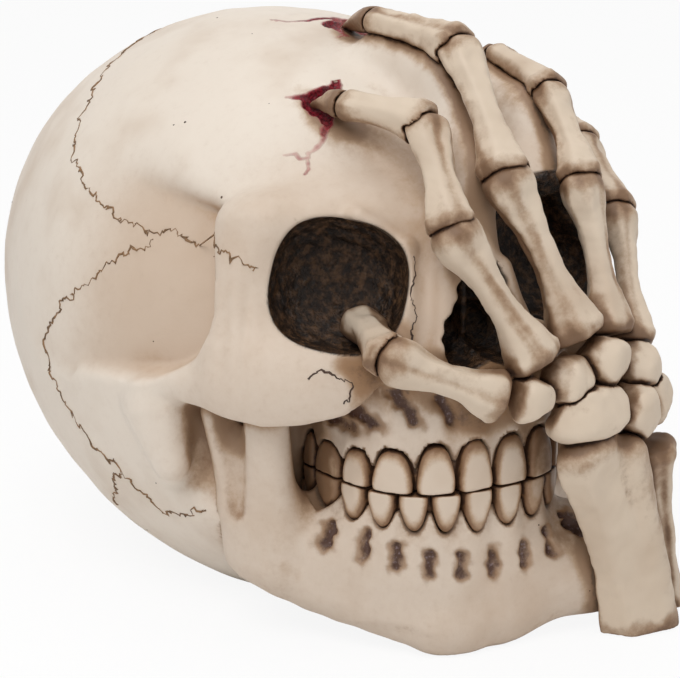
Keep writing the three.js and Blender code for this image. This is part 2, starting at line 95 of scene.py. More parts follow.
# %% Node helpers
def linear(red, green, blue):
    """A colour given as a paint chart's 0 to 255 values, for a shader socket."""
    parts = [value / 255 for value in (red, green, blue)]
    return [part / 12.92 if part <= 0.04045 else ((part + 0.055) / 1.055) ** 2.4 for part in parts] + [1.0]


def add(tree, kind, inputs=None, **settings):
    """A new node of a tree, with its settings and the plain values of its inputs."""
    node = tree.nodes.new(kind)
    for name, value in settings.items():
        setattr(node, name, value)
    for socket, value in (inputs or {}).items():
        node.inputs[socket].default_value = value
    return node


def wire(tree, *pairs):
    for output, target in pairs:
        tree.links.new(output, target)


def feed(tree, socket, value):
    """Gives a socket a plain value, or a link from another node."""
    if isinstance(value, (int, float, list)):
        socket.default_value = value
    else:
        tree.links.new(value, socket)


def math_node(tree, operation, a, b):
    node = add(tree, "ShaderNodeMath", operation=operation)
    feed(tree, node.inputs[0], a)
    feed(tree, node.inputs[1], b)
    return node.outputs[0]


print("node helpers: add, wire, feed and math_node")

# %% Lamps
LAMP_TARGET = Vector((0, -0.01, 0.07))
LAMPS = (
    ("key_lamp", (-0.7, -0.6, 1.2), 9.8, 0.9),
    ("fill_lamp", (0.9, -0.9, 0.6), 2.2, 1.0),
    ("top_lamp", (0.0, 0.2, 1.3), 4.4, 1.0),
)
for name, spot, watts, size in LAMPS:
    lamp = bpy.data.lights.new(name, "AREA")
    lamp.shape = "DISK"
    lamp.size = size
    lamp.energy = watts
    holder = bpy.data.objects.new(name, lamp)
    holder.location = spot
    holder.rotation_euler = (LAMP_TARGET - Vector(spot)).to_track_quat("-Z", "Y").to_euler()
    scene.collection.objects.link(holder)
print("lamps:", [name for name, *_ in LAMPS])

# %% World
SKY_FILL = 0.33

world = bpy.data.worlds.new("studio")
world.use_nodes = True
scene.world = world
sky_tree = world.node_tree
sky = sky_tree.nodes["Background"]
sky.inputs["Color"].default_value = (1, 1, 1, 1)
rays = add(sky_tree, "ShaderNodeLightPath").outputs
seen = math_node(sky_tree, "MAXIMUM", rays["Is Camera Ray"], rays["Is Glossy Ray"])
seen = math_node(sky_tree, "MAXIMUM", seen, rays["Is Transmission Ray"])
level = add(sky_tree, "ShaderNodeMapRange", {"To Min": SKY_FILL, "To Max": 1.0})
wire(sky_tree, (seen, level.inputs["Value"]), (level.outputs["Result"], sky.inputs["Strength"]))
print("world: white to the eye, light of strength", SKY_FILL)

# %% Table
TABLE_HALF = 3.0
TABLE_TOP = -0.0002
TABLE_GLOW = 0.9

table_mesh = bpy.data.meshes.new("table")
table_signs = ((-1, -1), (1, -1), (1, 1), (-1, 1))
table_corners = [(x * TABLE_HALF, y * TABLE_HALF, TABLE_TOP) for x, y in table_signs]
table_mesh.from_pydata(table_corners, [], [(0, 1, 2, 3)])
table = bpy.data.objects.new("table", table_mesh)
scene.collection.objects.link(table)
table_white = bpy.data.materials.new("table_white")
table_white.use_nodes = True
table_tree = table_white.node_tree
matt = table_tree.nodes["Principled BSDF"]
matt.inputs["Base Color"].default_value = (0.95, 0.95, 0.95, 1)
matt.inputs["Roughness"].default_value = 0.9
glow = add(table_tree, "ShaderNodeEmission", {"Color": (1, 1, 1, 1)})
blend = add(table_tree, "ShaderNodeMixShader")
seen = add(table_tree, "ShaderNodeLightPath").outputs["Is Camera Ray"]
wire(table_tree, (math_node(table_tree, "MULTIPLY", seen, TABLE_GLOW), blend.inputs[0]),
     (matt.outputs[0], blend.inputs[1]), (glow.outputs[0], blend.inputs[2]),
     (blend.outputs[0], table_tree.nodes["Material Output"].inputs["Surface"]))
table_mesh.materials.append(table_white)
table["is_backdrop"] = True
print("table:", 2 * TABLE_HALF, "m square")

# %% [markdown]
# ## Sculpting with distance fields
# A distance field is a function that says how far a point lies outside a form. Two fields joined with
# a soft minimum melt into each other as clay does, and a soft maximum scoops one out of the other.
# Spheres and cubes under a remesh modifier would give such forms too, but a function can be corrected
# number by number and gives the same form each time. All sculpting is done in millimetres on arrays of
# points, and becomes metres in the mesh.

# %% Basic forms
MM = 0.001
PER_METRE = 1000


def turned(yaw=0.0, pitch=0.0, roll=0.0):
    """Axes of a form rolled about Y, then pitched about X, then turned about Z, in degrees."""
    turn = Matrix.Rotation(math.radians(yaw), 3, "Z")
    turn = turn @ Matrix.Rotation(math.radians(pitch), 3, "X") @ Matrix.Rotation(math.radians(roll), 3, "Y")
    return np.array(turn, dtype=np.float32)


def oval(p, centre, radii, axes=None):
    """About the distance to an egg with three radii."""
    q = p - np.asarray(centre, np.float32)
    if axes is not None:
        q = q @ axes
    q = q / np.asarray(radii, np.float32)
    ratio = np.sqrt((q * q).sum(1))
    q = q / np.asarray(radii, np.float32)
    return ratio * (ratio - 1) / (np.sqrt((q * q).sum(1)) + 1e-9)


def rod(p, start, end, radius, end_radius=None):
    """Distance to a round rod that may taper."""
    start = np.asarray(start, np.float32)
    span = np.asarray(end, np.float32) - start
    end_radius = radius if end_radius is None else end_radius
    share = np.clip((p - start) @ span / float(span @ span), 0, 1)
    girth = radius + (end_radius - radius) * share
    return np.linalg.norm(p - start - share[:, None] * span, axis=1) - girth


def block(p, centre, halves, rounding, axes=None):
    """Distance to a block with rounded edges."""
    q = p - np.asarray(centre, np.float32)
    if axes is not None:
        q = q @ axes
    q = np.abs(q) - np.asarray(halves, np.float32) + rounding
    return np.linalg.norm(np.maximum(q, 0), axis=1) + np.minimum(q.max(1), 0) - rounding


print("forms: oval, rod and block")

# %% Joining and roughening forms
FLOOR_LIFT = 0.05
WAVES = 7


def weld(a, b, softness):
    """Two forms as one, with a soft fillet between them."""
    near = np.maximum(softness - np.abs(a - b), 0) / softness
    return np.minimum(a, b) - near * near * softness / 4


def overlap(a, b, softness):
    """What two forms have in common, with a soft edge."""
    return -weld(-a, -b, softness)


def scoop(a, b, softness):
    """The first form without the second, with a soft edge."""
    return -weld(-a, b, softness)


def ramp(value, start, end):
    """Nought up to start, one from end on, and a smooth rise between."""
    share = np.clip((value - start) / (end - start), 0, 1)
    return share * share * (3 - 2 * share)


def ripple(p, size, seed=0):
    """Smooth random hills, mostly between -1 and 1 and about size millimetres apart."""
    dice = np.random.default_rng(seed)
    ways = dice.normal(size=(3, WAVES))
    ways *= 2 * math.pi / (np.linalg.norm(ways, axis=0) * size * dice.uniform(0.9, 2.2, WAVES))
    shifts = dice.uniform(0, 2 * math.pi, WAVES)
    return np.sin(p @ ways.astype(np.float32) + shifts.astype(np.float32)).sum(1) / 3.2


def welded(d, p, forms):
    """A field with a list of named forms welded on, each with its own softness."""
    for _, form, sizes, softness in forms:
        d = weld(d, form(p, *sizes), softness)
    return d


def folded(p):
    """Points with the left half folded onto the right half, where x is negative."""
    q = p.copy()
    q[:, 0] = -np.abs(q[:, 0])
    return q


def above_table(d, p):
    """A form cut flat just over the table."""
    return np.maximum(d, FLOOR_LIFT - p[:, 2])


print("forms are joined by weld, cut by scoop and overlap, and roughened by ripple")

# %% The plain vault
VAULT_CENTRE = np.array((0, 0, 67.0))
VAULT_RADII = np.array((71.3, 89.5, 72.8))
TILT_DEGREES = 11
VAULT_TILT = math.radians(TILT_DEGREES)
VAULT_AXES = turned(pitch=TILT_DEGREES)
REAR_STRETCH = 7.5
REAR_DROOP = 2.0
SKIN_INSET = 0.3
CROWN_HEIGHTS = (100, 145, 4501)


def vault(p):
    """Distance to the tilted egg of the brain case, which is drawn out at the rear."""
    behind = np.maximum(p[:, 1:2], 0) / VAULT_RADII[1].astype(np.float32)
    rear = np.array((0, REAR_STRETCH, -REAR_DROOP), np.float32)
    return oval(p - behind * behind * rear, VAULT_CENTRE, VAULT_RADII, VAULT_AXES)


def on_skull(longitude, latitude, lift=0.0):
    """A place over the plain vault: degrees round from the face, degrees up, and a lift in mm."""
    east, north = math.radians(longitude), math.radians(latitude)
    away = np.array((math.sin(east) * math.cos(north), -math.cos(east) * math.cos(north), math.sin(north)))
    along = away[1] * math.cos(VAULT_TILT) + away[2] * math.sin(VAULT_TILT)
    across = -away[1] * math.sin(VAULT_TILT) + away[2] * math.cos(VAULT_TILT)
    reach = 1 / np.linalg.norm(np.array((away[0], along, across)) / VAULT_RADII)
    return VAULT_CENTRE + away * (reach + lift)


def over_vault(x, y):
    """The point of the plain vault above a place on the table."""
    heights = np.linspace(*CROWN_HEIGHTS)
    points = np.stack([np.full_like(heights, x), np.full_like(heights, y), heights], 1).astype(np.float32)
    return points[np.argmin(np.abs(vault(points)))]


print("front of the vault at", on_skull(0, 0).round(1), "mm")

# %% [markdown]
# ## Skinning a field
# A mesh is drawn onto a field with surface nets: the field is sampled on a grid near its surface, every
# grid cell that the surface passes gets one vertex, and the vertex is then slid along the field's slope
# until it lies on the surface. A remesh modifier would do the same on a ready mesh, but here the mesh
# comes straight from the field: an even net of quads with no seams or poles.

# %% Sample a field
BLOCK = 6


def sample(field, low, counts, step):
    """Field values on a grid, worked out finely only in blocks near the surface."""
    blocks = -(-counts // BLOCK)
    ticks = [low[k] + step * (np.arange(blocks[k]) * BLOCK + (BLOCK - 1) / 2) for k in range(3)]
    centres = np.stack(np.meshgrid(*ticks, indexing="ij"), -1).reshape(-1, 3).astype(np.float32)
    coarse = field(centres).reshape(blocks)
    fine = coarse.repeat(BLOCK, 0).repeat(BLOCK, 1).repeat(BLOCK, 2)
    near = np.abs(fine) < BLOCK * step * 1.25
    fine[near] = field((low + np.argwhere(near) * step).astype(np.float32))
    return fine


def slope(field, p, reach=0.15):
    """Slope of a field at points, from four probes round each."""
    probes = np.array(((1, -1, -1), (-1, -1, 1), (-1, 1, -1), (1, 1, 1)), np.float32)
    return sum(probe * field(p + reach * probe)[:, None] for probe in probes) / (4 * reach)


def slide(field, p, step, rounds=2):
    """Points drawn onto the field's surface along its slope."""
    for _ in range(rounds):
        way = slope(field, p)
        move = field(p)[:, None] * way / ((way * way).sum(1, keepdims=True) + 1e-6)
        length = np.linalg.norm(move, axis=1, keepdims=True) + 1e-9
        p = (p - move * np.minimum(1, step / length)).astype(np.float32)
    return p


print("fields are sampled in blocks of", BLOCK, "cells a side")

# %% Net of quads
GRID_MARGIN = 2.37


def skin(field, low, high, step):
    """Vertices and quads of a field's surface, in mm."""
    step = step
    low = np.asarray(low, float) - GRID_MARGIN * step
    counts = np.ceil((np.asarray(high, float) - low) / step).astype(int) + 4
    values = sample(field, low, counts, step)
    inside = values < 0
    corners = list(itertools.product((0, 1), repeat=3))
    size = np.array(inside.shape) - 1
    full = sum(inside[a:a + size[0], b:b + size[1], c:c + size[2]].astype(np.int8) for a, b, c in corners)
    crossed = (full > 0) & (full < 8)
    cells = np.argwhere(crossed)
    number = np.full(crossed.shape, -1)
    number[crossed] = np.arange(len(cells))
    total, hits = np.zeros((len(cells), 3)), np.zeros(len(cells))
    quads = []
    for axis in range(3):
        unit = np.eye(3, dtype=int)[axis]
        side, up = np.eye(3, dtype=int)[(axis + 1) % 3], np.eye(3, dtype=int)[(axis + 2) % 3]
        for corner in (0 * unit, side, up, side + up):
            first, second = cells + corner, cells + corner + unit
            a, b = values[tuple(first.T)], values[tuple(second.T)]
            cross = (a < 0) != (b < 0)
            share = np.where(cross, a / np.where(cross, a - b, 1), 0)
            total[cross] += (first + share[:, None] * unit)[cross]
            hits += cross
        cut = [slice(None)] * 3
        rest = [slice(None)] * 3
        cut[axis], rest[axis] = slice(0, -1), slice(1, None)
        changes = np.argwhere(inside[tuple(cut)] != inside[tuple(rest)])
        changes = changes[((changes >= 1) & (changes < size)).all(1)]
        offsets = (side + up, up, 0 * unit, side)
        ring = np.stack([number[tuple((changes - offset).T)] for offset in offsets], 1)
        outward = inside[tuple(changes.T)]
        quads.append(np.where(outward[:, None], ring, ring[:, ::-1]))
    points = (low + step * total / hits[:, None]).astype(np.float32)
    return slide(field, points, step), np.concatenate(quads)


print("a net starts", GRID_MARGIN, "steps outside the box of its form")

# %% Meshes and their points
def as_mesh(name, points, quads):
    mesh = bpy.data.meshes.new(name)
    mesh.from_pydata((points * MM).tolist(), [], quads.tolist())
    mesh.shade_smooth()
    mesh.update()
    return mesh


def mesh_points(mesh):
    flat = np.empty(len(mesh.vertices) * 3, np.float32)
    mesh.vertices.foreach_get("co", flat)
    return flat.reshape(-1, 3) * PER_METRE


def move_points(mesh, points):
    mesh.vertices.foreach_set("co", (points * MM).astype(np.float32).ravel())
    mesh.shade_smooth()
    mesh.update()


def refine(mesh, chosen, field, step):
    """Splits the chosen faces once and draws their points onto the field again."""
    form = bmesh.new()
    form.from_mesh(mesh)
    centres = np.array([face.calc_center_median() for face in form.faces], np.float32) * PER_METRE
    faces = [face for face, wanted in zip(form.faces, chosen(centres)) if wanted]
    edges = list({edge for face in faces for edge in face.edges})
    bmesh.ops.subdivide_edges(form, edges=edges, cuts=1, use_grid_fill=True)
    bmesh.ops.triangulate(form, faces=[face for face in form.faces if len(face.verts) > 4])
    form.to_mesh(mesh)
    form.free()
    points = mesh_points(mesh)
    moved = chosen(points)
    points[moved] = slide(field, points[moved], step)
    move_points(mesh, points)


print("meshes are made in metres from points in millimetres, factor", MM)

# %% [markdown]
# ## The tooth rows
# Twelve broad teeth stand over fourteen narrow ones, on a square-fronted arch. They are cast in relief,
# so each is a pillow that a dark groove runs round. Single teeth set along a curve would leave gaps to
# fill. So the arch is a function that turns a point into its place along the row and its distance in
# front of it, and every tooth of a row is sculpted in those terms, as one closed form.

# %% Tooth arch
BITE_HEIGHT = 41.5
ARCH_HALF_WIDTH = 29.0
ARCH_LENGTH = 40.0
ARCH_FRONT = -91.5
ARCH_SQUARENESS = 3.0
ARCH_REAR = ARCH_FRONT + ARCH_LENGTH + 2
ARCH_SAMPLES = 721
ARCH_THINNING = 6

sweep = np.linspace(0, math.pi / 2, ARCH_SAMPLES)
arch_x = -ARCH_HALF_WIDTH * np.sin(sweep) ** (2 / ARCH_SQUARENESS)
arch_y = ARCH_FRONT + ARCH_LENGTH * (1 - np.cos(sweep) ** (2 / ARCH_SQUARENESS))
arch_run = np.concatenate([[0], np.cumsum(np.hypot(np.diff(arch_x), np.diff(arch_y)))])
ARCH_PLACES = np.stack([arch_x, arch_y], 1)[::ARCH_THINNING]
ARCH_RUNS = arch_run[::ARCH_THINNING]
print("row length", round(float(arch_run[-1]), 1), "mm a side")

# %% Map of the arch
MAP_STEP = 0.5
MAP_CORNER = np.array((-80.0, -112.0))
MAP_END = np.array((0.6, -9.6))
map_ticks = [np.arange(MAP_CORNER[axis], MAP_END[axis], MAP_STEP) for axis in range(2)]
map_x, map_y = np.meshgrid(*map_ticks, indexing="ij")
map_flat = np.stack([map_x.ravel(), map_y.ravel()], 1)
map_best = np.full(len(map_flat), np.inf)
map_run, map_front = np.zeros(len(map_flat)), np.zeros(len(map_flat))
for first, last, run_before in zip(ARCH_PLACES[:-1], ARCH_PLACES[1:], ARCH_RUNS):
    span = last - first
    length = np.hypot(*span)
    share = np.clip((map_flat - first) @ span / length ** 2, 0, 1)
    away = map_flat - first - share[:, None] * span
    distance = np.hypot(away[:, 0], away[:, 1])
    side = span[0] * (map_flat[:, 1] - first[1]) - span[1] * (map_flat[:, 0] - first[0])
    closer = distance < map_best
    map_best[closer] = distance[closer]
    map_run[closer] = (run_before + share * length)[closer]
    map_front[closer] = (distance * np.where(side > 0, 1, -1))[closer]
ARCH_MAP = np.stack([map_run, map_front], 1).reshape(*map_x.shape, 2).astype(np.float32)


def along_arch(p):
    """Distance along the row from its middle, and distance in front of the row, of the right half."""
    flat = (np.stack([-np.abs(p[:, 0]), p[:, 1]], 1) - MAP_CORNER) / MAP_STEP
    flat = np.clip(flat, 0, np.array(ARCH_MAP.shape[:2]) - 1.01).astype(np.float32)
    cell = flat.astype(int)
    u, v = (flat - cell).T[:, :, None]
    i, j = cell.T
    near = ARCH_MAP[i, j] * (1 - u) + ARCH_MAP[i + 1, j] * u
    far = ARCH_MAP[i, j + 1] * (1 - u) + ARCH_MAP[i + 1, j + 1] * u
    return (near * (1 - v) + far * v).T


print("map of the arch:", ARCH_MAP.shape[0], "by", ARCH_MAP.shape[1], "places")

# %% Tooth outlines
UPPER_ROW = {"edges": (0, 10, 20.3, 31.8, 41.4, 52.5, 58), "heights": (12.2, 11.7, 10.2, 8.8, 8.2, 8),
             "roundness": 2.6}
LOWER_ROW = {"edges": (0, 8.6, 16.6, 24.6, 33, 42, 52.5, 58), "heights": (10.4, 9.7, 9.2, 9, 9, 8.6, 8),
             "roundness": 2.0}
TOOTH_TAPER = 0.16
HALF_GAP = 0.15
GROOVE_WIDTH = 0.25


def tooth_outlines(run, height, row):
    """Signed distance to the nearest tooth's outline, in the row's own surface."""
    nearest = np.full(len(run), np.inf, np.float32)
    corner = 1 - 0.09 * np.exp(-(height / 1.3) ** 2)
    power = row["roundness"]
    for left, right, tall in zip(row["edges"][:-1], row["edges"][1:], row["heights"]):
        half = (right - left) / 2 - HALF_GAP
        up = np.maximum(height, 0) / tall
        reach = half * corner * (1 - TOOTH_TAPER * np.minimum(up, 1))
        across = np.abs(run - (left + right) / 2) / reach
        ratio = (across ** power + up ** (1.1 * power) + 1e-9) ** (1 / power)
        nearest = np.minimum(nearest, (ratio - 1) * half)
    return nearest


def tooth_grooves(run, front, height, row):
    """The grooves that run round the teeth of a row, as a form to scoop out of the gum."""
    return np.maximum(tooth_outlines(run, height, row) - GROOVE_WIDTH, np.abs(front + 2) - 6)


print("teeth:", 2 * len(UPPER_ROW["heights"]), "over", 2 * len(LOWER_ROW["heights"]))

# %% Tooth rows
UPPER_BOX = (np.array((-34, -96, 40)), np.array((34, -46, 56)))
LOWER_BOX = (np.array((-34, -96, 26)), np.array((34, -46, 43)))
TOOTH_STEP = 0.45


def tooth_row(p, direction, row):
    """Pillows on a band that roots in the jaw; direction is 1 for upwards and -1 for downwards."""
    run, front = along_arch(p)
    height = (p[:, 2] - BITE_HEIGHT) * direction
    outline = tooth_outlines(run, height, row)
    pillow = overlap(outline, front - 0.8 + 0.02 * height, 1.7)
    pillow = np.maximum(pillow, -front - 6)
    band = np.maximum(np.abs(front + 4.6) - 2.0, np.maximum(-height, height - row["heights"][0] + 1))
    band = np.maximum(band, run - row["edges"][-1])
    d = weld(pillow, band, 0.5)
    d = scoop(d, height - 0.18, 0.6)
    return np.maximum(d, p[:, 1] - ARCH_REAR) + 0.06 * ripple(p, 3.0, 5)


def upper_teeth(p):
    return tooth_row(p, 1, UPPER_ROW)


def lower_teeth(p):
    return tooth_row(p, -1, LOWER_ROW)


upper_mesh = as_mesh("upper_teeth", *skin(upper_teeth, *UPPER_BOX, TOOTH_STEP))
lower_mesh = as_mesh("lower_teeth", *skin(lower_teeth, *LOWER_BOX, TOOTH_STEP))
print("upper teeth:", len(upper_mesh.polygons), "faces, lower teeth:", len(lower_mesh.polygons))

# %% [markdown]
# ## The cranium
# The vault is a tilted egg. Brow, socket pillar, cheek bone, nose bridge, jaw ridge and mastoid are
# welded on, the temples and the space under the cheek are scooped out, and last come the eye sockets,
# the nose opening and the grooves round the teeth. A subdivided cage would need a loop of edges for each
# of these forms; in a field each is one line. Points are folded onto the right half, so the left half
# is its mirror image, apart from its wider socket, the cracks and the swellings under the fingers.

# %% Paths and edges
def smooth_path(stops, count):
    """Points on a smooth curve through the stops."""
    stops = np.array(stops, float)
    stops = np.concatenate([[2 * stops[0] - stops[1]], stops, [2 * stops[-1] - stops[-2]]])
    places = []
    for share in np.linspace(0, len(stops) - 3, count):
        index = min(int(share), len(stops) - 4)
        a, b, c, d = stops[index:index + 4]
        t = share - index
        places.append(b + 0.5 * t * (c - a + t * (2 * a - 5 * b + 4 * c - d + t * (3 * (b - c) + d - a))))
    return np.array(places)


def to_stroke(u, v, start, end):
    """Distance from places in a flat map to a straight stroke."""
    du, dv = end[0] - start[0], end[1] - start[1]
    share = np.clip(((u - start[0]) * du + (v - start[1]) * dv) / (du * du + dv * dv), 0, 1)
    return np.hypot(u - start[0] - share * du, v - start[1] - share * dv)


def edge_side(u, v, corners):
    """Signed distance to an open line of corners in a flat map, positive to the left of its run."""
    best = np.full(len(u), np.inf, np.float32)
    sign = np.ones(len(u), np.float32)
    for start, end in zip(corners[:-1], corners[1:]):
        distance = to_stroke(u, v, start, end)
        closer = distance < best
        best[closer] = distance[closer]
        turn = (end[0] - start[0]) * (v - start[1]) - (end[1] - start[1]) * (u - start[0])
        sign[closer] = np.where(turn > 0, 1, -1)[closer]
    return best * sign


print("helpers: smooth_path, to_stroke and edge_side")

# %% Relief of the face
EYE_SQUARENESS = 2.6
SOCKET = (on_skull(-23.4, 16.6), (15.8, 17, 15.6), turned(yaw=-23, pitch=-16.6, roll=14))
LEFT_SOCKET = (on_skull(20, 18), (18, 17, 18), turned(yaw=20, pitch=-18))
TEMPLE_STOPS = ((-16, 119), (-26, 116), (-38, 111), (-47, 105.5), (-51.5, 97.5), (-55, 88), (-56, 80),
                (-53.5, 74), (-48, 69), (-43, 65.5), (-36, 63.5), (-12, 60))
TEMPLE_EDGE = smooth_path(TEMPLE_STOPS, 30)
TEMPLE_DEPTH = 6.2
OUTER_FORMS = (
    ("brow", rod, ((-7, -68, 102), (-40, -57.5, 104), 5.5, 6), 10),
    ("socket pillar", rod, ((-46, -52.5, 103), (-50, -57.5, 76), 5, 6), 9),
    ("cheek bone", oval, ((-43, -67, 67), (19, 8.5, 11), turned(yaw=-36)), 8),
    ("cheek arch", rod, ((-50, -60, 66), (-65, -38, 64.5), 6, 2.6), 4),
)
INNER_FORMS = (
    ("nose bridge", rod, ((0, -70, 101), (0, -83.5, 90), 7.5, 6), 8),
    ("upper jaw", oval, ((0, -66, 65), (30, 22, 14)), 8),
    ("inner end of the brow", rod, ((-25, -70.5, 106), (-16.5, -75.5, 99), 2.2), 3.5),
    ("inner rim of the socket", rod, ((-15.5, -76.5, 98), (-19.5, -82, 78), 2.2), 3),
    ("side of the nose", rod, ((-7.5, -82.5, 92), (-12, -86, 76), 2.4), 3),
)


def eye_bowl(p, centre, radii, axes):
    """An eye socket: an oval that is a little squarer than an egg."""
    q = np.abs((p - np.asarray(centre, np.float32)) @ axes) / np.asarray(radii, np.float32)
    return ((q ** EYE_SQUARENESS).sum(1) ** (1 / EYE_SQUARENESS) - 1) * 0.95 * min(radii)


def temple(q):
    """How deep the temple lies under the plain form: steep at its front edge, fading backwards."""
    depth = np.zeros(len(q), np.float32)
    near = (q[:, 0] < -30) & (q[:, 1] > -64) & (q[:, 1] < 14) & (q[:, 2] > 54) & (q[:, 2] < 126)
    if near.any():
        part = q[near]
        inside = edge_side(part[:, 1], part[:, 2], TEMPLE_EDGE)
        fade = ramp(part[:, 1], 12, -46) * ramp(part[:, 2], 125, 101)
        soft = 1.1 + 3.2 * ramp(part[:, 2], 97, 111)
        depth[near] = TEMPLE_DEPTH * ramp(inside, -0.9, 3.4 * soft) * fade
    return depth


def face(q):
    """The right half before its openings are cut."""
    d = welded(vault(q) + SKIN_INSET, q, OUTER_FORMS)
    return welded(d + temple(q), q, INNER_FORMS)


print("forms of the face:", [name for name, *_ in OUTER_FORMS + INNER_FORMS])

# %% [markdown]
# ### Cracks and finger beds
# The bone is broken where a fingertip goes in: a red hole with cracks that run out of it in a zigzag.
# Paint alone would look flat at the rim, so the cracks are tapering rods that are scooped out of the
# vault. Behind them the knuckles rest on low swellings of resin, which are rods welded on.

# %% Cracks where the fingertips went in
CRACKS = (
    (((-18, -40, 4.0), (-12, -38.5, 2.4), (-7.6, -32.5, 0.4)),
     ((-18, -40, 3.2), (-23, -34.9, 0.4)),
     ((-18, -40, 3.8), (-19.2, -47.2, 1.7), (-22.6, -50.1, 1.0), (-27.3, -51, 0.8), (-31.6, -47.2, 0.3)),
     ((-27.3, -51, 0.7), (-29.2, -54.2, 0.3))),
    (((13, -5, 3.2), (4, -10, 3.2)),
     ((10, -3, 2.0), (-0.6, -5.7, 1.0), (-6, -1.5, 0.7), (-7.5, 1, 0.3)),
     ((4, -10, 1.8), (4, -16.8, 0.9), (0, -18, 0.3)),
     ((8, -8, 2.8), (11, -17, 1.7), (7, -25, 1.0), (2, -28, 0.3)),
     ((7, -25, 0.8), (4, -32, 0.3))),
    (((39, -23, 2.4), (33, -20, 0.4)), ((39, -23, 1.8), (36, -30, 0.3)), ((39, -23, 1.6), (40, -15, 0.3))),
    (((53, -21, 2.2), (47, -16, 0.4)), ((53, -21, 1.6), (49, -28, 0.3))),
)
CRACK_SEED = 12
CRACK_PIECES = 4
ZIGZAG = 0.5
CRACK_GIRTH = 0.46
CRACK_TAPER = 1.5


def crack_rods():
    """Short tapering rods along each crack, with a zigzag, in one list for each fingertip."""
    dice = np.random.default_rng(CRACK_SEED)
    groups = []
    for lines in CRACKS:
        rods = []
        for line in lines:
            stops = np.array(line)
            shares = np.linspace(0, len(stops) - 1, CRACK_PIECES * (len(stops) - 1) + 1)
            x, y, radius = (np.interp(shares, np.arange(len(stops)), column) for column in stops.T)
            x[1:] += dice.uniform(-ZIGZAG, ZIGZAG, len(x) - 1)
            y[1:] += dice.uniform(-ZIGZAG, ZIGZAG, len(y) - 1)
            places = [over_vault(a, b) for a, b in zip(x, y)]
            radius = CRACK_GIRTH * radius ** CRACK_TAPER
            rods += list(zip(places[:-1], places[1:], radius[:-1], radius[1:]))
        ends = np.array([place for rod_ends in rods for place in rod_ends[:2]])
        groups.append((rods, ends.min(0) - 4, ends.max(0) + 4))
    return groups


CRACK_GROUPS = crack_rods()


def cracks(p):
    """Distance to the cracks, worked out only near them."""
    d = np.full(len(p), 9, np.float32)
    for rods, low, high in CRACK_GROUPS:
        near = ((p > low) & (p < high)).all(1)
        if near.any():
            part = p[near]
            d[near] = np.minimum.reduce([rod(part, *ends) for ends in rods]) + 0.12 * ripple(part, 1.6, 14)
    return d


print("crack rods:", [len(group[0]) for group in CRACK_GROUPS])

# %% Beds that the fingers rest on
BED_RADIUS = 4.6
BED_SOFTNESS = 9
BEDS = (
    ((7.5, 34, 3), (14, 52.5, 6.5), (12, 66, 2.5)),
    ((25, 30, 3), (34.5, 41, 6), (48, 51, 3)),
    ((36, 22, 2.5), (48.5, 30.5, 2.5), (59, 35.5, 1)),
)
FINGER_BEDS = [(on_skull(*first), on_skull(*last))
               for row in BEDS for first, last in zip(row[:-1], row[1:])]
print("beds:", len(FINGER_BEDS))

# %% Cheek, gum and nose
CHEEK_EDGE_X = (-66, -58, -50, -42, -34, -30, -26)
CHEEK_EDGE_Z = (62.3, 60.2, 58.2, 59.4, 61.8, 65, 69)
JAW_STREAKS = (((-33.5, 62.5), (-27.5, 55.5)), ((-30.5, 64), (-25, 57.5)), ((-22, 66), (-18.5, 59)),
               ((-13.5, 65), (-10.5, 58.5)), ((-36, 57.5), (-33.5, 54.5)))
ROOT_PITCH = 10.7
GROOVE_PLACES = (-42.5, -38.9)
GROOVE_SPREAD = 0.9


def under_cheek(q, front):
    """The open space under the cheek bone, beside the tooth row."""
    ceiling = q[:, 2] - np.interp(q[:, 0], CHEEK_EDGE_X, CHEEK_EDGE_Z).astype(np.float32)
    rear = q[:, 1] + 45 - 0.2 * (q[:, 2] - 47)
    return overlap(overlap(ceiling, -1.0 - front, 3), rear, 4)


def root_waves(run, height, fade_from, fade_to):
    """Low swellings of the gum over the tooth roots."""
    return 0.55 * np.cos(2 * math.pi * run / ROOT_PITCH + math.pi) * ramp(height, fade_from, fade_to)


def near_row(front, out=5):
    """One at the outer face of a tooth row and nought well inside or outside it."""
    return ramp(front, -9, -5) * ramp(front, out, out - 2)


def streaks(q):
    """Depth of the worn hollows over the tooth roots."""
    nearest = np.full(len(q), np.inf, np.float32)
    for start, end in JAW_STREAKS:
        nearest = np.minimum(nearest, to_stroke(q[:, 0], q[:, 2], start, end))
    return ramp(nearest + 0.4 * ripple(q, 3, 8), 2.6, 0.4)


def nose(q):
    """The pear-shaped opening of the nose, with a ragged rim."""
    pear = weld(oval(q, (-5.6, -89, 77.5), (6.2, 20, 7.6)), oval(q, (0, -89, 84), (7.6, 20, 11.5)), 3)
    return pear + 0.45 * ripple(q, 3.4, 6)


def pillar_grooves(q):
    """Depth of the shallow upright grooves on the outer edge of the eye socket."""
    round_from_face = np.degrees(np.arctan2(q[:, 0], -q[:, 1]))
    depth = sum(np.exp(-((round_from_face - place) / GROOVE_SPREAD) ** 2) for place in GROOVE_PLACES)
    return 0.5 * depth * ramp(q[:, 2], 64, 74) * ramp(q[:, 2], 95, 84)


print("cheek edge at", len(CHEEK_EDGE_X), "places, worn streaks:", len(JAW_STREAKS))

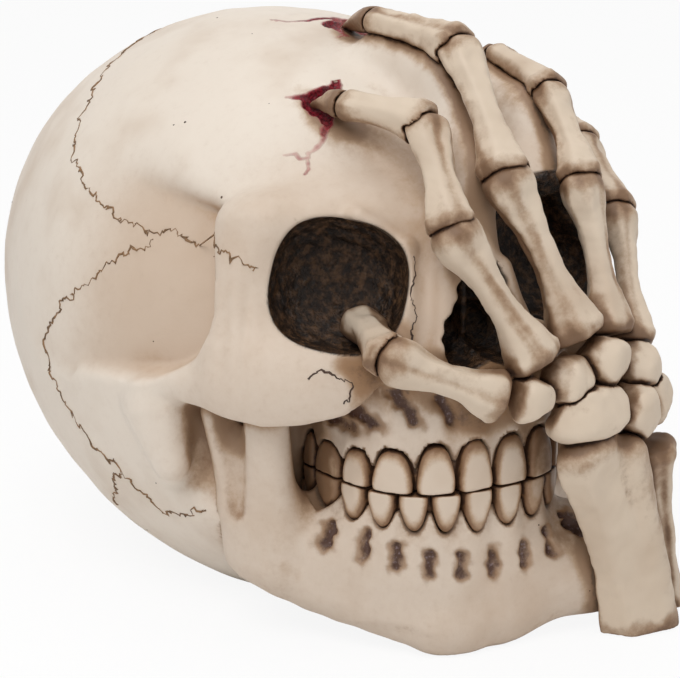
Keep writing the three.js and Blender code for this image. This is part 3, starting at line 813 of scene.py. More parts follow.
# %% Cranium field
NAPE_RADIUS = 4.6
NAPE_RIDGE = [on_skull(*place) for place in ((-180, -16, -3), (-160, -19, -3.2), (-140, -25, -4))]
MASTOID = ((-61.5, -37, 57), (-59, -40.5, 43.5), 7.4, 4.8)
SKULL_BOX = (np.array((-73, -100, 0)), np.array((73, 100, 142)))
CRANIUM_STEP = 1.75
GUM_TOP = 84
MOUTH = ((0, -82, 30), (33, 42, 18), 6)
MASTOID_POCKET = ((-57, -47, 42), (9, 8, 14))
REAR_WALL = ((-36, -48.5, 43), (9, 2.5, 17), 2)
NOSE_WALL = ((0, -66, 80), (0.7, 12, 13), 0.5)


def upper_gum(part, d):
    """The low part of the face with the mouth cut open and the upper jaw's wall set into it."""
    run, front = along_arch(part)
    height = part[:, 2] - BITE_HEIGHT
    d = scoop(d, under_cheek(part, front), 1.2)
    d = scoop(d, block(part, *MOUTH), 3)
    wall = front + 0.9 - root_waves(run, height, 24, 14) + 0.18 * np.maximum(height - 13, 0)
    ridge = np.maximum(wall, np.maximum(4.5 - height, height - 27))
    d = weld(d, np.maximum(ridge, part[:, 1] - ARCH_REAR), 4)
    d = d + 1.5 * streaks(part) * near_row(front)
    return scoop(d, tooth_grooves(run, front, height, UPPER_ROW), 0.5)


def cranium(p):
    """The whole upper skull."""
    q = folded(p)
    d = face(q)
    low = q[:, 2] < GUM_TOP
    if low.any():
        d[low] = upper_gum(q[low], d[low])
    for start, end in zip(NAPE_RIDGE[:-1], NAPE_RIDGE[1:]):
        d = weld(d, rod(q, start, end, NAPE_RADIUS), 9)
    d = scoop(d, oval(q, *MASTOID_POCKET), 4)
    d = weld(d, rod(q, *MASTOID), 4)
    d = weld(d, block(q, *REAR_WALL), 3)
    bumps = 0.3 * ripple(p, 2.4, 21)
    d = scoop(d, eye_bowl(q, *SOCKET) + bumps * ramp(d, -1, -4), 1.1)
    d = scoop(d, eye_bowl(p, *LEFT_SOCKET) + bumps * ramp(d, -1, -4), 1.5)
    d = scoop(d, nose(q), 1.0)
    d = weld(d, block(q, *NOSE_WALL), 0.8)
    for start, end in FINGER_BEDS:
        d = weld(d, rod(p, start, end, BED_RADIUS), BED_SOFTNESS)
    d = scoop(d, cracks(p), 0.4)
    d = d + 0.22 * ripple(p, 19, 1) + 0.09 * ripple(p, 6, 2) + pillar_grooves(q)
    return above_table(d, p)


cranium_mesh = as_mesh("cranium", *skin(cranium, *SKULL_BOX, CRANIUM_STEP))
print("cranium:", len(cranium_mesh.polygons), "quads at", CRANIUM_STEP, "mm")

# %% Finer net on the face
def on_face(centres):
    """The front of the face, from the gum to the brow."""
    side = np.abs(centres[:, 0])
    band = (centres[:, 1] < -28) & (centres[:, 2] > 34) & (centres[:, 2] < 112)
    return band & (centres[:, 1] < -34 - 0.25 * np.maximum(side - 50, 0) + 0.5 * np.maximum(side - 44, 0))


def near_crack(centres):
    return cracks(centres) < 1.8


def near_rim(centres):
    """The sharp rims of the right socket, its mirror image and the nose opening."""
    right = folded(centres)
    bowl = np.minimum(np.abs(eye_bowl(right, *SOCKET) - 0.2), np.abs(nose(right) - 0.2))
    return (bowl < 0.9) & (np.abs(face(right)) < 2.2)


for chosen, step in ((on_face, 0.8), (near_rim, 0.4), (near_crack, 0.8), (near_crack, 0.4)):
    refine(cranium_mesh, chosen, cranium, step)
print("cranium refined to", len(cranium_mesh.polygons), "faces")

# %% [markdown]
# ## The lower jaw
# The body of the jaw is a bent bar, deeper than it is thick, with a chin that juts, and each side rises
# in a plate with two ridges and a notch between them. A row of worm-eaten pits runs under the teeth, and
# a web of resin ties the jaw to the forearm. All of it is one field again, because a bar, a plate and a
# web that are separate meshes would show their seams.

# %% Jaw field
JAW_BAR_STOPS = ((0, -83.5, 16), (-11, -81.5, 16.5), (-19.5, -74, 18.5), (-30, -61, 20.5), (-41, -51, 25.5))
JAW_HEM_STOPS = ((0, -86, 6), (-10, -84.5, 6.5), (-19.5, -75.5, 9.5), (-30, -62.5, 13), (-41.5, -51, 20.5))
JAW_BAR = smooth_path(JAW_BAR_STOPS, 10)
JAW_BAR_RADIUS = 7.2
JAW_HEM = smooth_path(JAW_HEM_STOPS, 10)
JAW_HEM_RADIUS = 4.2
JAW_BOX = (np.array((-62, -104, 0)), np.array((62, -30, 64)))
JAW_STEP = 0.7
JAW_FLATTEN = np.array((1, 1, 0.58), np.float32)
RAMUS_AXES = turned(yaw=28.7, roll=-10)
WEB_START = np.array((6, -85, 14.5))
WEB_END = np.array((33, -89.5, 13.5))
WEB_RADIUS = 6
CHIN = ((-5, -86.5, 6.5), (11, 4.8, 6.2))
WEB_FILL = ((20, -79, 26), (31, -85, 26.5), 5)
RAMUS_FORMS = (
    ("plate", block, ((-43.5, -53.5, 37), (3, 9, 21), 2.6, RAMUS_AXES), 5),
    ("front ridge", rod, ((-39.6, -55.5, 20), (-44.4, -60, 57), 4, 3.6), 7),
    ("low rear ridge", rod, ((-40.5, -51, 20), (-45, -48.8, 33), 3.8, 3.1), 5),
    ("high rear ridge", rod, ((-45, -48.8, 33), (-50.5, -47.5, 57), 3.1, 3.9), 5),
)
RAMUS_HOLLOW = ((-51.5, -54, 58.5), (5.5, 3, 10), RAMUS_AXES)
RAMUS_GROOVE = ((-51, -54.8, 52), (-48.2, -53.2, 33), 1.8, 0.3)
PIT_HEIGHTS = (19, 18.5, 17, 15.6, 14.4, 13.4)
PIT_HALF_LENGTH = 2.4


def pits(run, height):
    """Distance to the worm-eaten pits under the gaps between the lower teeth."""
    nearest = np.full(len(run), np.inf, np.float32)
    for edge, level in zip(LOWER_ROW["edges"], PIT_HEIGHTS):
        beyond = np.maximum(np.abs(height - level) - PIT_HALF_LENGTH, 0)
        nearest = np.minimum(nearest, np.hypot(run - edge, beyond))
    return nearest


def jaw(p):
    """The whole lower jaw."""
    q = folded(p)
    tall = q * JAW_FLATTEN
    d = np.full(len(q), 1e3, np.float32)
    for start, end in zip(JAW_BAR[:-1], JAW_BAR[1:]):
        d = weld(d, rod(tall, start * JAW_FLATTEN, end * JAW_FLATTEN, JAW_BAR_RADIUS), 3)
    for start, end in zip(JAW_HEM[:-1], JAW_HEM[1:]):
        d = weld(d, rod(q, start, end, JAW_HEM_RADIUS), 5)
    d = weld(d, oval(p, *CHIN), 6)
    d = weld(d, rod(p * JAW_FLATTEN, WEB_START * JAW_FLATTEN, WEB_END * JAW_FLATTEN, WEB_RADIUS), 6)
    d = weld(d, rod(p, *WEB_FILL), 4)
    d = welded(d, q, RAMUS_FORMS)
    d = scoop(d, oval(q, *RAMUS_HOLLOW), 4)
    d = scoop(d, rod(q, *RAMUS_GROOVE), 4)
    run, front = along_arch(q)
    height = BITE_HEIGHT - q[:, 2]
    wall = front + 1.1 - root_waves(run, height, 24, 14) + 0.1 * np.maximum(height - 16, 0)
    ridge = np.maximum(np.maximum(wall, -front - 13), np.maximum(5 - height, height - 30))
    d = weld(d, np.maximum(ridge, q[:, 1] - ARCH_REAR), 6)
    d = d + 1.3 * ramp(pits(run, height) + 0.5 * ripple(p, 2.6, 7), 1.9, 0.2) * near_row(front, 9)
    d = scoop(d, tooth_grooves(run, front, height, LOWER_ROW), 0.5)
    d = d + 0.2 * ripple(p, 17, 3) + 0.07 * ripple(p, 6, 4)
    return above_table(d, p)


jaw_mesh = as_mesh("mandible", *skin(jaw, *JAW_BOX, JAW_STEP))
print("jaw:", len(jaw_mesh.polygons), "faces")

# %% [markdown]
# ## The hand
# Each digit runs over a chain of joints that hover over the skull. A long bone has a cap-like base, a
# waisted shaft with carved facets and a ball-shaped head, and the next bone's base is hollowed by that
# ball. The wrist bones are faceted pebbles, each cut back by the neighbours that were there first. One
# bone copied many times would show at once, so each gets its own girth, flutes and knocks from its seed.

# %% Long bones
FACET_TURNS = (20, 85, 140, 205, 260, 325)
FACET_DEPTH = 0.86


class LongBone:
    """A bone of the hand: two ends in mm, and the radii of its base, shaft and head."""

    def __init__(self, start, end, radii, flatness=0.88, bow=0.8, point=False, streaks=0.24, seed=0):
        self.start = np.asarray(start, np.float32)
        self.end = np.asarray(end, np.float32)
        span = self.end - self.start
        self.length = float(np.linalg.norm(span))
        self.axis = span / self.length
        away = (self.start + self.end) / 2 - VAULT_CENTRE.astype(np.float32)
        away = away - self.axis * (away @ self.axis)
        self.back = away / np.linalg.norm(away)
        self.side = np.cross(self.axis, self.back)
        self.radii = radii
        self.flatness = flatness
        self.bow = bow
        self.point = point
        self.streaks = streaks
        self.seed = seed

    def __call__(self, p):
        """The bone's field: a waisted shaft with facets, flutes and a rounded end."""
        base, shaft, head = self.radii
        q = p - self.start
        run = q @ self.axis
        across, up = q @ self.side, q @ self.back
        left = self.length - run
        flare = np.exp(-(np.maximum(run - 0.2 * base, 0) / (1.15 * base)) ** 2)
        swell = np.exp(-(np.maximum(left - 0.3 * head, 0) / (1.2 * head)) ** 2)
        width = shaft + (base - shaft) * flare + (head - shaft) * swell
        width = width + 0.5 * np.exp(-((run - 1.7) / 1.2) ** 2)
        if self.point:
            width = base + (head - base) * ramp(run, 0, self.length)
        share = np.clip(run / self.length, 0, 1)
        up = up - self.bow * 4 * share * (1 - share)
        deep = width * (self.flatness - 0.06 * swell)
        ratio = np.sqrt((across / width) ** 2 + (up / deep) ** 2 + 1e-9)
        d = (ratio - 1) * np.minimum(width, deep)
        for turn in FACET_TURNS:
            angle = math.radians(turn + 17 * (self.seed % 3))
            facet = across * math.cos(angle) + up / self.flatness * math.sin(angle) - FACET_DEPTH * width
            d = overlap(d, facet, 0.9)
        d = d + 0.12 * shaft * self.flute(across, up) * (1 - 0.6 * np.maximum(flare, swell))
        if not self.point:
            dent = ((left - 0.95 * head) / (0.5 * head)) ** 2 + (across / (0.42 * head)) ** 2
            d = d + 0.17 * head * np.exp(-dent) * (up > 0)
        round_end = np.minimum(ratio, 1.3) ** 2
        d = scoop(d, left + 0.4 * head - 0.5 * head * round_end, 1.8)
        d = scoop(d, run + 0.12 * base - 0.25 * round_end, 1.4)
        return d + 0.17 * ripple(p, 4.5, self.seed) + 0.06 * ripple(p, 1.9, self.seed + 9)

    def flute(self, across, up):
        """Shallow grooves along the shaft, from nought to one."""
        angle = np.arctan2(up, across)
        turns = np.random.default_rng(self.seed).uniform(0, 2 * math.pi, 3)
        return np.maximum.reduce([np.exp((np.cos(angle - turn) - 1) / 0.05) for turn in turns])

    def wash_and_shade(self, p):
        """Where the bone is darkened: brown wash in the flutes and over a fingertip, and wash with painted
        shade at both ends, by the joints.
        """
        q = p - self.start
        run = q @ self.axis
        left = self.length - run
        ends = np.exp(-(run / 2.8) ** 2) + np.exp(-(np.maximum(left - 0.5, 0) / 2.8) ** 2)
        across, up = q @ self.side, q @ self.back
        streaky = ripple(np.stack([0.16 * run, across, up], 1), 3.4, self.seed + 60)
        wash_and_shade = 0.45 * self.flute(across, up) + 0.48 * ends + self.streaks * ramp(streaky, 0.2, 1.1)
        return wash_and_shade + (0.6 if self.point else 0)

    def box(self):
        """Two corners of a box round the bone."""
        reach = max(self.radii) * 1.5
        return np.minimum(self.start, self.end) - reach, np.maximum(self.start, self.end) + reach


print("long bones have", len(FACET_TURNS), "facets and three flutes")

# %% Joints of the digits
METACARPAL = (7.4, 4.0, 7.0)
PROXIMAL = (6.7, 4.3, 6.2)
MIDDLE = (6.3, 4.3, 4.8)
DISTAL = (4.4, 3.0, 1.4)
FINGER = (("metacarpal", METACARPAL), ("proximal", PROXIMAL), ("middle", MIDDLE), ("distal", DISTAL))
THUMB = (("metacarpal", (6.6, 4.0, 6.4)), ("phalanx", (6.2, 4.9, 5.8)))
DIGITS = (
    ("thumb", 1.0, THUMB, ((-1.8, -0.6, 10), (-17.5, 6, 8.5), (-18.0, 9.8, -16))),
    ("index", 1.0, FINGER,
     ((4, 3.5, 10.5), (-7, 23, 14), (-5.5, 39.5, 14.5), (-18.5, 48.5, 6), (-25.5, 55, -3))),
    ("middle", 1.05, FINGER,
     ((12.5, 5.5, 10.5), (6.5, 30, 12.5), (14, 52.5, 16), (12, 69.5, 7.5), (40, 80.5, -2))),
    ("ring", 0.97, FINGER,
     ((20, 4.5, 11.5), (24, 26.5, 13.5), (34.5, 41, 14.5), (49, 52, 9), (59, 54, -3))),
    ("little", 0.9, FINGER,
     ((26.5, 1.5, 12.5), (34.5, 20, 12.5), (48.5, 30.5, 9.5), (60, 36, 7), (68.5, 37, -3))),
)
print("digits:", [digit for digit, *_ in DIGITS])

# %% Bones of the digits
GLUE_LINE = 0.1
GLUE_CHIPS = 0.3
CUT_REACH = 2.5


def hollowed(field, neighbours):
    """A field cut back by its neighbours, with a glue line between."""
    def cut(p):
        d = field(p)
        for neighbour, low, high in neighbours:
            near = ((p > low - 1) & (p < high + 1)).all(1) & (d < CUT_REACH)
            if near.any():
                part = p[near]
                gap = GLUE_LINE + GLUE_CHIPS * np.abs(ripple(part, 2.4, 50))
                d[near] = scoop(d[near], neighbour(part) - gap, 0.3)
        return d
    return cut


skull_form = (cranium, *SKULL_BOX)
hand, bare, wash_and_shade_masks = {}, {}, {}
for digit, girth, rows, joints in DIGITS:
    points = [on_skull(*joint) for joint in joints]
    before = None
    for index, (row, radii) in enumerate(rows):
        name = f"{digit}_{row}"
        bone = LongBone(points[index], points[index + 1], [girth * radius for radius in radii],
                        point=row == "distal", seed=len(hand))
        neighbours = [] if before is None else [(before, *before.box())]
        hand[name] = (hollowed(bone, neighbours + [skull_form]), *bone.box())
        bare[name] = (bone, *bone.box())
        wash_and_shade_masks[name] = bone.wash_and_shade
        before = bone
print("finger bones:", len(hand))

# %% Forearm
RADIUS_FOOT = np.array((40.5, -95.0, 0))
ULNA_FOOT = on_skull(32.5, -33, 41.5) * (1, 1, 0)
RADIUS_BOX = (np.array((5, -112, 0)), np.array((62, -80, 66)))
RIDGE = ((31.8, -100.5, 46.8), (46.5, -97, -2), 5.2, 4.6)
radius_bone = LongBone(RADIUS_FOOT, on_skull(11.0, -8.7, 15.6), (10.6, 7.8, 9.8), flatness=0.74, bow=0,
                       streaks=0.08, seed=31)
ulna_bone = LongBone(on_skull(24.5, -11.5, 21.5), ULNA_FOOT, (6.8, 4.6, 5.8), bow=0, seed=32)


def standing(field):
    return lambda p: above_table(field(p), p)


def ridged_radius(p):
    """The radius with the second knob and ridge along its outer side."""
    return weld(radius_bone(p), rod(p, *RIDGE) + 0.2 * ripple(p, 5, 33), 2.5)


def radius_wash_and_shade(p):
    """The bone's own wash and painted shade, and a crust of wash at the foot."""
    return radius_bone.wash_and_shade(p) + 0.5 * ramp(p[:, 2] + 1.4 * ripple(p, 4, 35), 6.5, 1)


wash_and_shade_masks.update(radius=radius_wash_and_shade, ulna=ulna_bone.wash_and_shade)
bare.update(radius=(ridged_radius, *RADIUS_BOX), ulna=(ulna_bone, *ulna_bone.box()))
hand["radius"] = (standing(hollowed(ridged_radius, [(jaw, *JAW_BOX)])), *RADIUS_BOX)
hand["ulna"] = (standing(hollowed(ulna_bone, [bare["radius"]])), *ulna_bone.box())
print("forearm:", round(radius_bone.length, 1), "and", round(ulna_bone.length, 1), "mm long")

# %% Wrist
WRIST_SEED = 40
LEAN = 14
FLATS = 6
WRIST = (
    ("trapezium", (2.3, -1.3, 11), (5.2, 6.2, 5.8)),
    ("trapezoid", (9, 0.3, 12), (6.4, 5.2, 6.2)),
    ("capitate", (16, 1.2, 13), (7.2, 6.4, 7)),
    ("hamate", (23.2, -1.0, 14), (6.8, 6.8, 7)),
    ("scaphoid", (11, -4.4, 14.5), (11, 6.6, 7)),
    ("lunate", (20, -6.0, 17), (7, 7, 7)),
    ("triquetrum", (25.2, -5.8, 17.5), (6.4, 6.6, 6.6)),
)


def pebble(place, halves, seed):
    """A wrist bone: a rounded block with flats carved on it."""
    centre = on_skull(*place)
    dice = np.random.default_rng(seed)
    lean = dice.uniform(-LEAN, LEAN, 3)
    axes = turned(place[0] + lean[0], -place[1] + lean[1], lean[2])
    radii = np.array((halves[0], halves[2], halves[1]), np.float32)
    flats = dice.normal(size=(FLATS, 3))
    flats /= np.linalg.norm(flats, axis=1, keepdims=True)
    depths = dice.uniform(0.78, 0.92, FLATS)

    def field(p):
        d = oval(p, centre, 1.13 * radii, axes)
        d = overlap(d, block(p, centre, radii, 2.4, axes), 2.0)
        q = ((p - centre) @ axes).astype(np.float32)
        for flat, depth in zip(flats, depths):
            reach = depth * np.linalg.norm(flat * radii)
            d = overlap(d, q @ flat.astype(np.float32) - reach, 1.2)
        return d + 0.16 * ripple(p, 3.5, seed) + 0.05 * ripple(p, 1.6, seed + 9)

    return field, centre - max(halves) * 1.2, centre + max(halves) * 1.2


first_comers = list(hand.values())
for seed, (name, place_on, halves) in enumerate(WRIST):
    field, low, high = pebble(place_on, halves, seed + WRIST_SEED)
    hand[name] = (hollowed(field, list(first_comers)), low, high)
    first_comers.append((field, low, high))
print("hand bones:", len(hand))

# %% Skin the hand
BONE_STEP = 0.55

hand_meshes = {}
for name, (field, low, high) in hand.items():
    low = np.array((low[0], low[1], max(low[2], -1)))
    hand_meshes[name] = as_mesh(name, *skin(field, low, high, BONE_STEP))
print("hand faces:", sum(len(mesh.polygons) for mesh in hand_meshes.values()))

# %% [markdown]
# ## Where the brown wash and the painted shade settle
# The painter brushed a thin brown wash over the ivory and wiped it off, so it stayed in every crease.
# The same masks also carry painted shade: they darken narrow creases, wider hollows and the skin under
# the hand, where shade falls. Blender's own dirt paint looks at one mesh alone and would miss the lines
# where two bones meet. A crease is a place where the space in front of the surface is soon closed again,
# so from each vertex a few steps are taken outwards, and the nearest surface of any piece is measured from
# there.

# %% Nearest surface of any piece
meshes = {"cranium": cranium_mesh, "mandible": jaw_mesh,
          "upper_teeth": upper_mesh, "lower_teeth": lower_mesh}
FACE_PIECES = tuple(meshes)
solids = {"cranium": skull_form, "mandible": (jaw, *JAW_BOX),
          "upper_teeth": (upper_teeth, *UPPER_BOX), "lower_teeth": (lower_teeth, *LOWER_BOX)}
meshes.update(hand_meshes)
solids.update(hand)


def clear_space(forms, p, reach):
    """Distance to the nearest surface of some forms, up to reach."""
    nearest = np.full(len(p), reach, np.float32)
    for field, low, high in forms.values():
        close = ((p > low - reach) & (p < high + reach)).all(1)
        if close.any():
            nearest[close] = np.minimum(nearest[close], field(p[close]))
    return nearest


def under_hand(p, reach):
    """One where a bone of the hand touches the surface, fading to nought at reach."""
    return np.clip(1 - clear_space(bare, p, reach) / reach, 0, 1)


def store(mesh, name, values):
    layer = mesh.attributes.new(name, "FLOAT", "POINT")
    layer.data.foreach_set("value", values.astype(np.float32))


def normals(mesh):
    flat = np.empty(len(mesh.vertices) * 3, np.float32)
    mesh.vertex_normals.foreach_get("vector", flat)
    return flat.reshape(-1, 3)


print("pieces to measure from:", len(solids))

# %% Wash that the painter laid on, and painted shade
PAINTED_SHADE_POCKET = ((-57, -47, 44), (9, 8, 14))
RAMUS_NOTCH = ((-50, -54, 56), (5, 3.6, 9), RAMUS_AXES)


def gum_painted_shade(points, front):
    """The painted shade on the upper jaw under the thumb, between the thumb and the teeth."""
    height = points[:, 2]
    gum = ramp(front, -6, -4) * ramp(height, 78, 72) * ramp(height, 51, 57) * ramp(points[:, 1], -62, -70)
    return gum * ramp(under_hand(points, 15) + 0.18 * ripple(points, 6, 23), 0.2, 0.8)


def tooth_wash_and_shade(name, points):
    """Wash round each tooth, and painted shade all over the last ones of a row, in the corner of the mouth.
    """
    row, direction = (UPPER_ROW, 1) if name == "upper_teeth" else (LOWER_ROW, -1)
    run, _ = along_arch(folded(points))
    outline = tooth_outlines(run, (points[:, 2] - BITE_HEIGHT) * direction, row)
    return 0.75 * ramp(outline, -2.4, -0.2) + ramp(run, 40, 50)


def skull_painted_shade(name, points):
    """Painted shade under the hand, on the gum under the thumb, beside and behind the ramus and in its
    notch.
    """
    right = folded(points)
    height = right[:, 2]
    run, front = along_arch(right)
    # Every layer here is painted shade: under the bones of the hand, on the gum under the thumb, in the
    # recess beside the ramus, in its notch, in the pocket behind it and on the front of the left ramus.
    shade_under_hand = 0.9 * under_hand(points, 5.5)
    beside = ramp(run, 44, 53) * ramp(front, 18, 10) * ramp(height, 9, 22) * ramp(height, 60, 54)
    beside = beside * ramp(right[:, 1], -40, -50)
    notch = ramp(oval(right, *RAMUS_NOTCH), 2.0, 0.2) * ramp(height, 40, 54)
    layers = [shade_under_hand, gum_painted_shade(points, front), beside, notch]
    if name == "cranium":
        behind = ramp(oval(right, *PAINTED_SHADE_POCKET), 1.6, 0.2) * (0.3 + 0.7 * ramp(height, 46, 57))
        layers.append(behind * ramp(rod(right, *MASTOID), 0.4, 2.2))
    if name == "mandible":
        layers.append(ramp(points[:, 0], 30, 36) * ramp(points[:, 1], -50, -56) * ramp(height, 26, 32))
    return np.maximum.reduce(layers)


for name in FACE_PIECES:
    wash_and_shade_masks[name] = functools.partial(tooth_wash_and_shade if name.endswith("teeth") else skull_painted_shade, name)
print("washes for", len(wash_and_shade_masks), "pieces")

# %% Crease masks
CREASE_STEPS = {"crease": (0.9, 2.0), "hollow": (4.0, 8.0)}
# Each mask darkens the paint where the space in front is closed: brown wash, and painted shade in the wider
# hollows and under the hand.
for name, mesh in meshes.items():
    points, out = mesh_points(mesh), normals(mesh)
    steep = np.clip(np.linalg.norm(slope(cranium, points), axis=1), 0.5, 1) if name == "cranium" else 1.0
    for layer, steps in CREASE_STEPS.items():
        gaps = [clear_space(solids, points + out * step, step) / (step * steep) for step in steps]
        mask = sum(np.clip(1 - gap, 0, 1) for gap in gaps) / len(gaps)
        if layer == "hollow" and name in wash_and_shade_masks:
            mask = mask + wash_and_shade_masks[name](points)
        store(mesh, layer, mask)
print("crease masks on", len(meshes), "meshes")

# %% Paint masks of the cranium
points = mesh_points(cranium_mesh)
right = folded(points)
run, front = along_arch(right)
in_socket = np.minimum(eye_bowl(right, *SOCKET), nose(right))
in_socket = np.minimum(in_socket, eye_bowl(points, *LEFT_SOCKET))
deep_in = ramp(face(right), -1.0, -2.0) * (in_socket < 1.5)
in_mouth = ramp(front, -2.4, -3.2) * (right[:, 1] < -38) * (right[:, 2] < 58)
store(cranium_mesh, "socket", np.maximum(np.maximum(ramp(in_socket, 0.35, 0.05), deep_in), in_mouth))
store(cranium_mesh, "gore", np.clip(1 - (cracks(points) + 0.6) / 1.8, 0, 1))
# The stain mask holds the worn streaks over the tooth roots, and painted shade on the gum under the thumb.
darkened = streaks(right) * near_row(front) * (right[:, 2] < GUM_TOP)
darkened = np.maximum(darkened, 0.7 * gum_painted_shade(points, front))
store(cranium_mesh, "stain", darkened)
# The tan mask: a tan glaze with painted shade in the temple recess, deepest at its front edge, tan on the
# pillar by the nose, and a tan that deepens below the crown and towards the face.
pillar = ramp(right[:, 0], -24, -19) * ramp(right[:, 1], -66, -74)
pillar = pillar * ramp(right[:, 2], 70, 76) * ramp(right[:, 2], 106, 100)
tan_below_crown = 0.12 + 0.52 * ramp(right[:, 1], -30, -62) * ramp(right[:, 2], 134, 112)
tanned = np.maximum(1.2 * temple(right) / TEMPLE_DEPTH, 0.9 * pillar)
store(cranium_mesh, "tan", np.clip(tanned + tan_below_crown, 0, 1))
print("cranium masks: socket, gore, stain and tan")

# %% Paint masks of the jaw
points = mesh_points(jaw_mesh)
right = folded(points)
run, front = along_arch(right)
in_pits = ramp(pits(run, BITE_HEIGHT - right[:, 2]) + 0.5 * ripple(points, 2.6, 7), 3.2, 0)
store(jaw_mesh, "stain", in_pits * near_row(front, 9))
store(jaw_mesh, "socket", ramp(front, -3.4, -4.2) * (right[:, 2] > 22) * (right[:, 1] < -40))
store(jaw_mesh, "gore", np.zeros(len(right)))
store(jaw_mesh, "tan", np.full(len(right), 0.6))
print("jaw masks: stain", round(float(in_pits.mean()), 3), "on average")

# %% [markdown]
# ## Paint
# Ivory paint, a tan glaze and a brown painted shade in the hollows and creases, and a dark brown line in
# the creases are the same on every piece. Three materials built apart would drift apart, so they are one
# node group, and each material gives it its own colours. Noise on Object coordinates breaks the masks up,
# as a dry brush does.

# %% Paint node helpers
def noise(tree, where, scale, detail=4.0, roughness=0.55):
    node = add(tree, "ShaderNodeTexNoise", {"Scale": scale, "Detail": detail, "Roughness": roughness})
    tree.links.new(where, node.inputs["Vector"])
    return node.outputs["Fac"]


def add_noise(tree, value, pattern, share):
    """A mask made uneven by a pattern that swings about one half."""
    swing = math_node(tree, "MULTIPLY", math_node(tree, "SUBTRACT", pattern, 0.5), share)
    return math_node(tree, "ADD", value, swing)


def soft_step(tree, value, start, end, strength=1.0):
    """A smooth rise from nought at start to strength at end."""
    node = add(tree, "ShaderNodeMapRange", {"From Min": start, "From Max": end, "To Max": strength},
               interpolation_type="SMOOTHSTEP")
    tree.links.new(value, node.inputs["Value"])
    return node.outputs["Result"]


def mix_colour(tree, share, first, second):
    node = add(tree, "ShaderNodeMix", data_type="RGBA")
    for socket, value in ((0, share), (6, first), (7, second)):
        feed(tree, node.inputs[socket], value)
    return node.outputs[2]


def object_place(tree):
    return add(tree, "ShaderNodeTexCoord").outputs["Object"]


def new_material(name):
    material = bpy.data.materials.new(name)
    material.use_nodes = True
    return material, material.node_tree, material.node_tree.nodes["Principled BSDF"].inputs


print("paint helpers: noise, add_noise, soft_step and mix_colour")

# %% Aged paint group
def aged_paint_group():
    tree = bpy.data.node_groups.new("aged_paint", "ShaderNodeTree")
    for name in ("Paint", "Glaze", "Shade", "Line"):
        tree.interface.new_socket(name, in_out="INPUT", socket_type="NodeSocketColor")
    for name in ("Crease", "Hollow"):
        tree.interface.new_socket(name, in_out="INPUT", socket_type="NodeSocketFloat")
    tree.interface.new_socket("Colour", in_out="OUTPUT", socket_type="NodeSocketColor")
    for name in ("Roughness", "Height"):
        tree.interface.new_socket(name, in_out="OUTPUT", socket_type="NodeSocketFloat")
    given = add(tree, "NodeGroupInput").outputs
    where = object_place(tree)
    clouds = noise(tree, where, 38, 3)
    blotches = noise(tree, where, 170, 5)
    specks = noise(tree, where, 430, 6, 0.7)
    grains = noise(tree, where, 900, 3)
    # Hollow brings the brown wash and the painted shade of recesses and of the skin under the hand; Crease
    # brings the brown wash and painted shade of narrow creases and their dark joint lines.
    wash_and_shade = add_noise(tree, add_noise(tree, given["Hollow"], blotches, 0.5), specks, 0.7)
    crease_wash_and_shade = add_noise(tree, add_noise(tree, given["Crease"], blotches, 0.35), specks, 0.5)
    seam = add_noise(tree, add_noise(tree, given["Crease"], grains, 0.6), specks, 0.9)
    colour = given["Paint"]
    # The tan Glaze and brown Shade laid by the two masks are brown wash and painted shade together; the
    # clouds are an uneven tone of the paint itself.
    for mask, start, end, strength, coat in ((clouds, 0.42, 0.75, 0.32, "Glaze"),
                                             (wash_and_shade, 0.12, 0.75, 0.8, "Glaze"),
                                             (wash_and_shade, 0.55, 1.05, 0.7, "Shade"),
                                             (crease_wash_and_shade, 0.2, 0.66, 0.85, "Shade"),
                                             (seam, 0.52, 0.95, 1.0, "Line")):
        colour = mix_colour(tree, soft_step(tree, mask, start, end, strength), colour, given[coat])
    rough = add(tree, "ShaderNodeMapRange", {"To Min": 0.42, "To Max": 0.62})
    hills = math_node(tree, "MULTIPLY", blotches, 0.25)
    height = math_node(tree, "ADD", hills, math_node(tree, "MULTIPLY", grains, 0.15))
    result = add(tree, "NodeGroupOutput").inputs
    wire(tree, (colour, result["Colour"]), (blotches, rough.inputs["Value"]),
         (rough.outputs["Result"], result["Roughness"]), (height, result["Height"]))
    return tree


AGED_PAINT = aged_paint_group()
print("aged paint group of", len(AGED_PAINT.nodes), "nodes")

# %% Ivory paints
CASTING_BUMP = {"Strength": 0.6, "Distance": 0.0004}
PAINT_SHINE = 0.35


def painted(name, paint, glaze, shade, line):
    """An ivory paint with its glaze, the colour of its painted shade and the colour of its creases."""
    material, tree, shader = new_material(name)
    coat = add(tree, "ShaderNodeGroup", node_tree=AGED_PAINT, name="aged_paint")
    for socket, colour in (("Paint", paint), ("Glaze", glaze), ("Shade", shade), ("Line", line)):
        coat.inputs[socket].default_value = linear(*colour)
    for layer in ("crease", "hollow"):
        mask = add(tree, "ShaderNodeAttribute", attribute_name=layer)
        tree.links.new(mask.outputs["Fac"], coat.inputs[layer.capitalize()])
    bump = add(tree, "ShaderNodeBump", CASTING_BUMP, name="casting_bump")
    shader["Specular IOR Level"].default_value = PAINT_SHINE
    wire(tree, (coat.outputs["Height"], bump.inputs["Height"]), (bump.outputs["Normal"], shader["Normal"]),
         (coat.outputs["Colour"], shader["Base Color"]), (coat.outputs["Roughness"], shader["Roughness"]))
    return material


skull_ivory = painted("skull_ivory", (231, 219, 205), (176, 144, 112), (122, 88, 60), (62, 42, 31))
tooth_ivory = painted("tooth_ivory", (216, 198, 179), (174, 140, 107), (124, 88, 58), (74, 50, 35))
bone_ivory = painted("bone_ivory", (217, 199, 178), (150, 116, 85), (104, 73, 49), (66, 46, 34))
print("paints:", skull_ivory.name, tooth_ivory.name, bone_ivory.name)

# %% Sockets, cracks, stains and painted shade on the skull paint
WET_ROUGHNESS = 0.25
BOWL_BUMP = 3.6


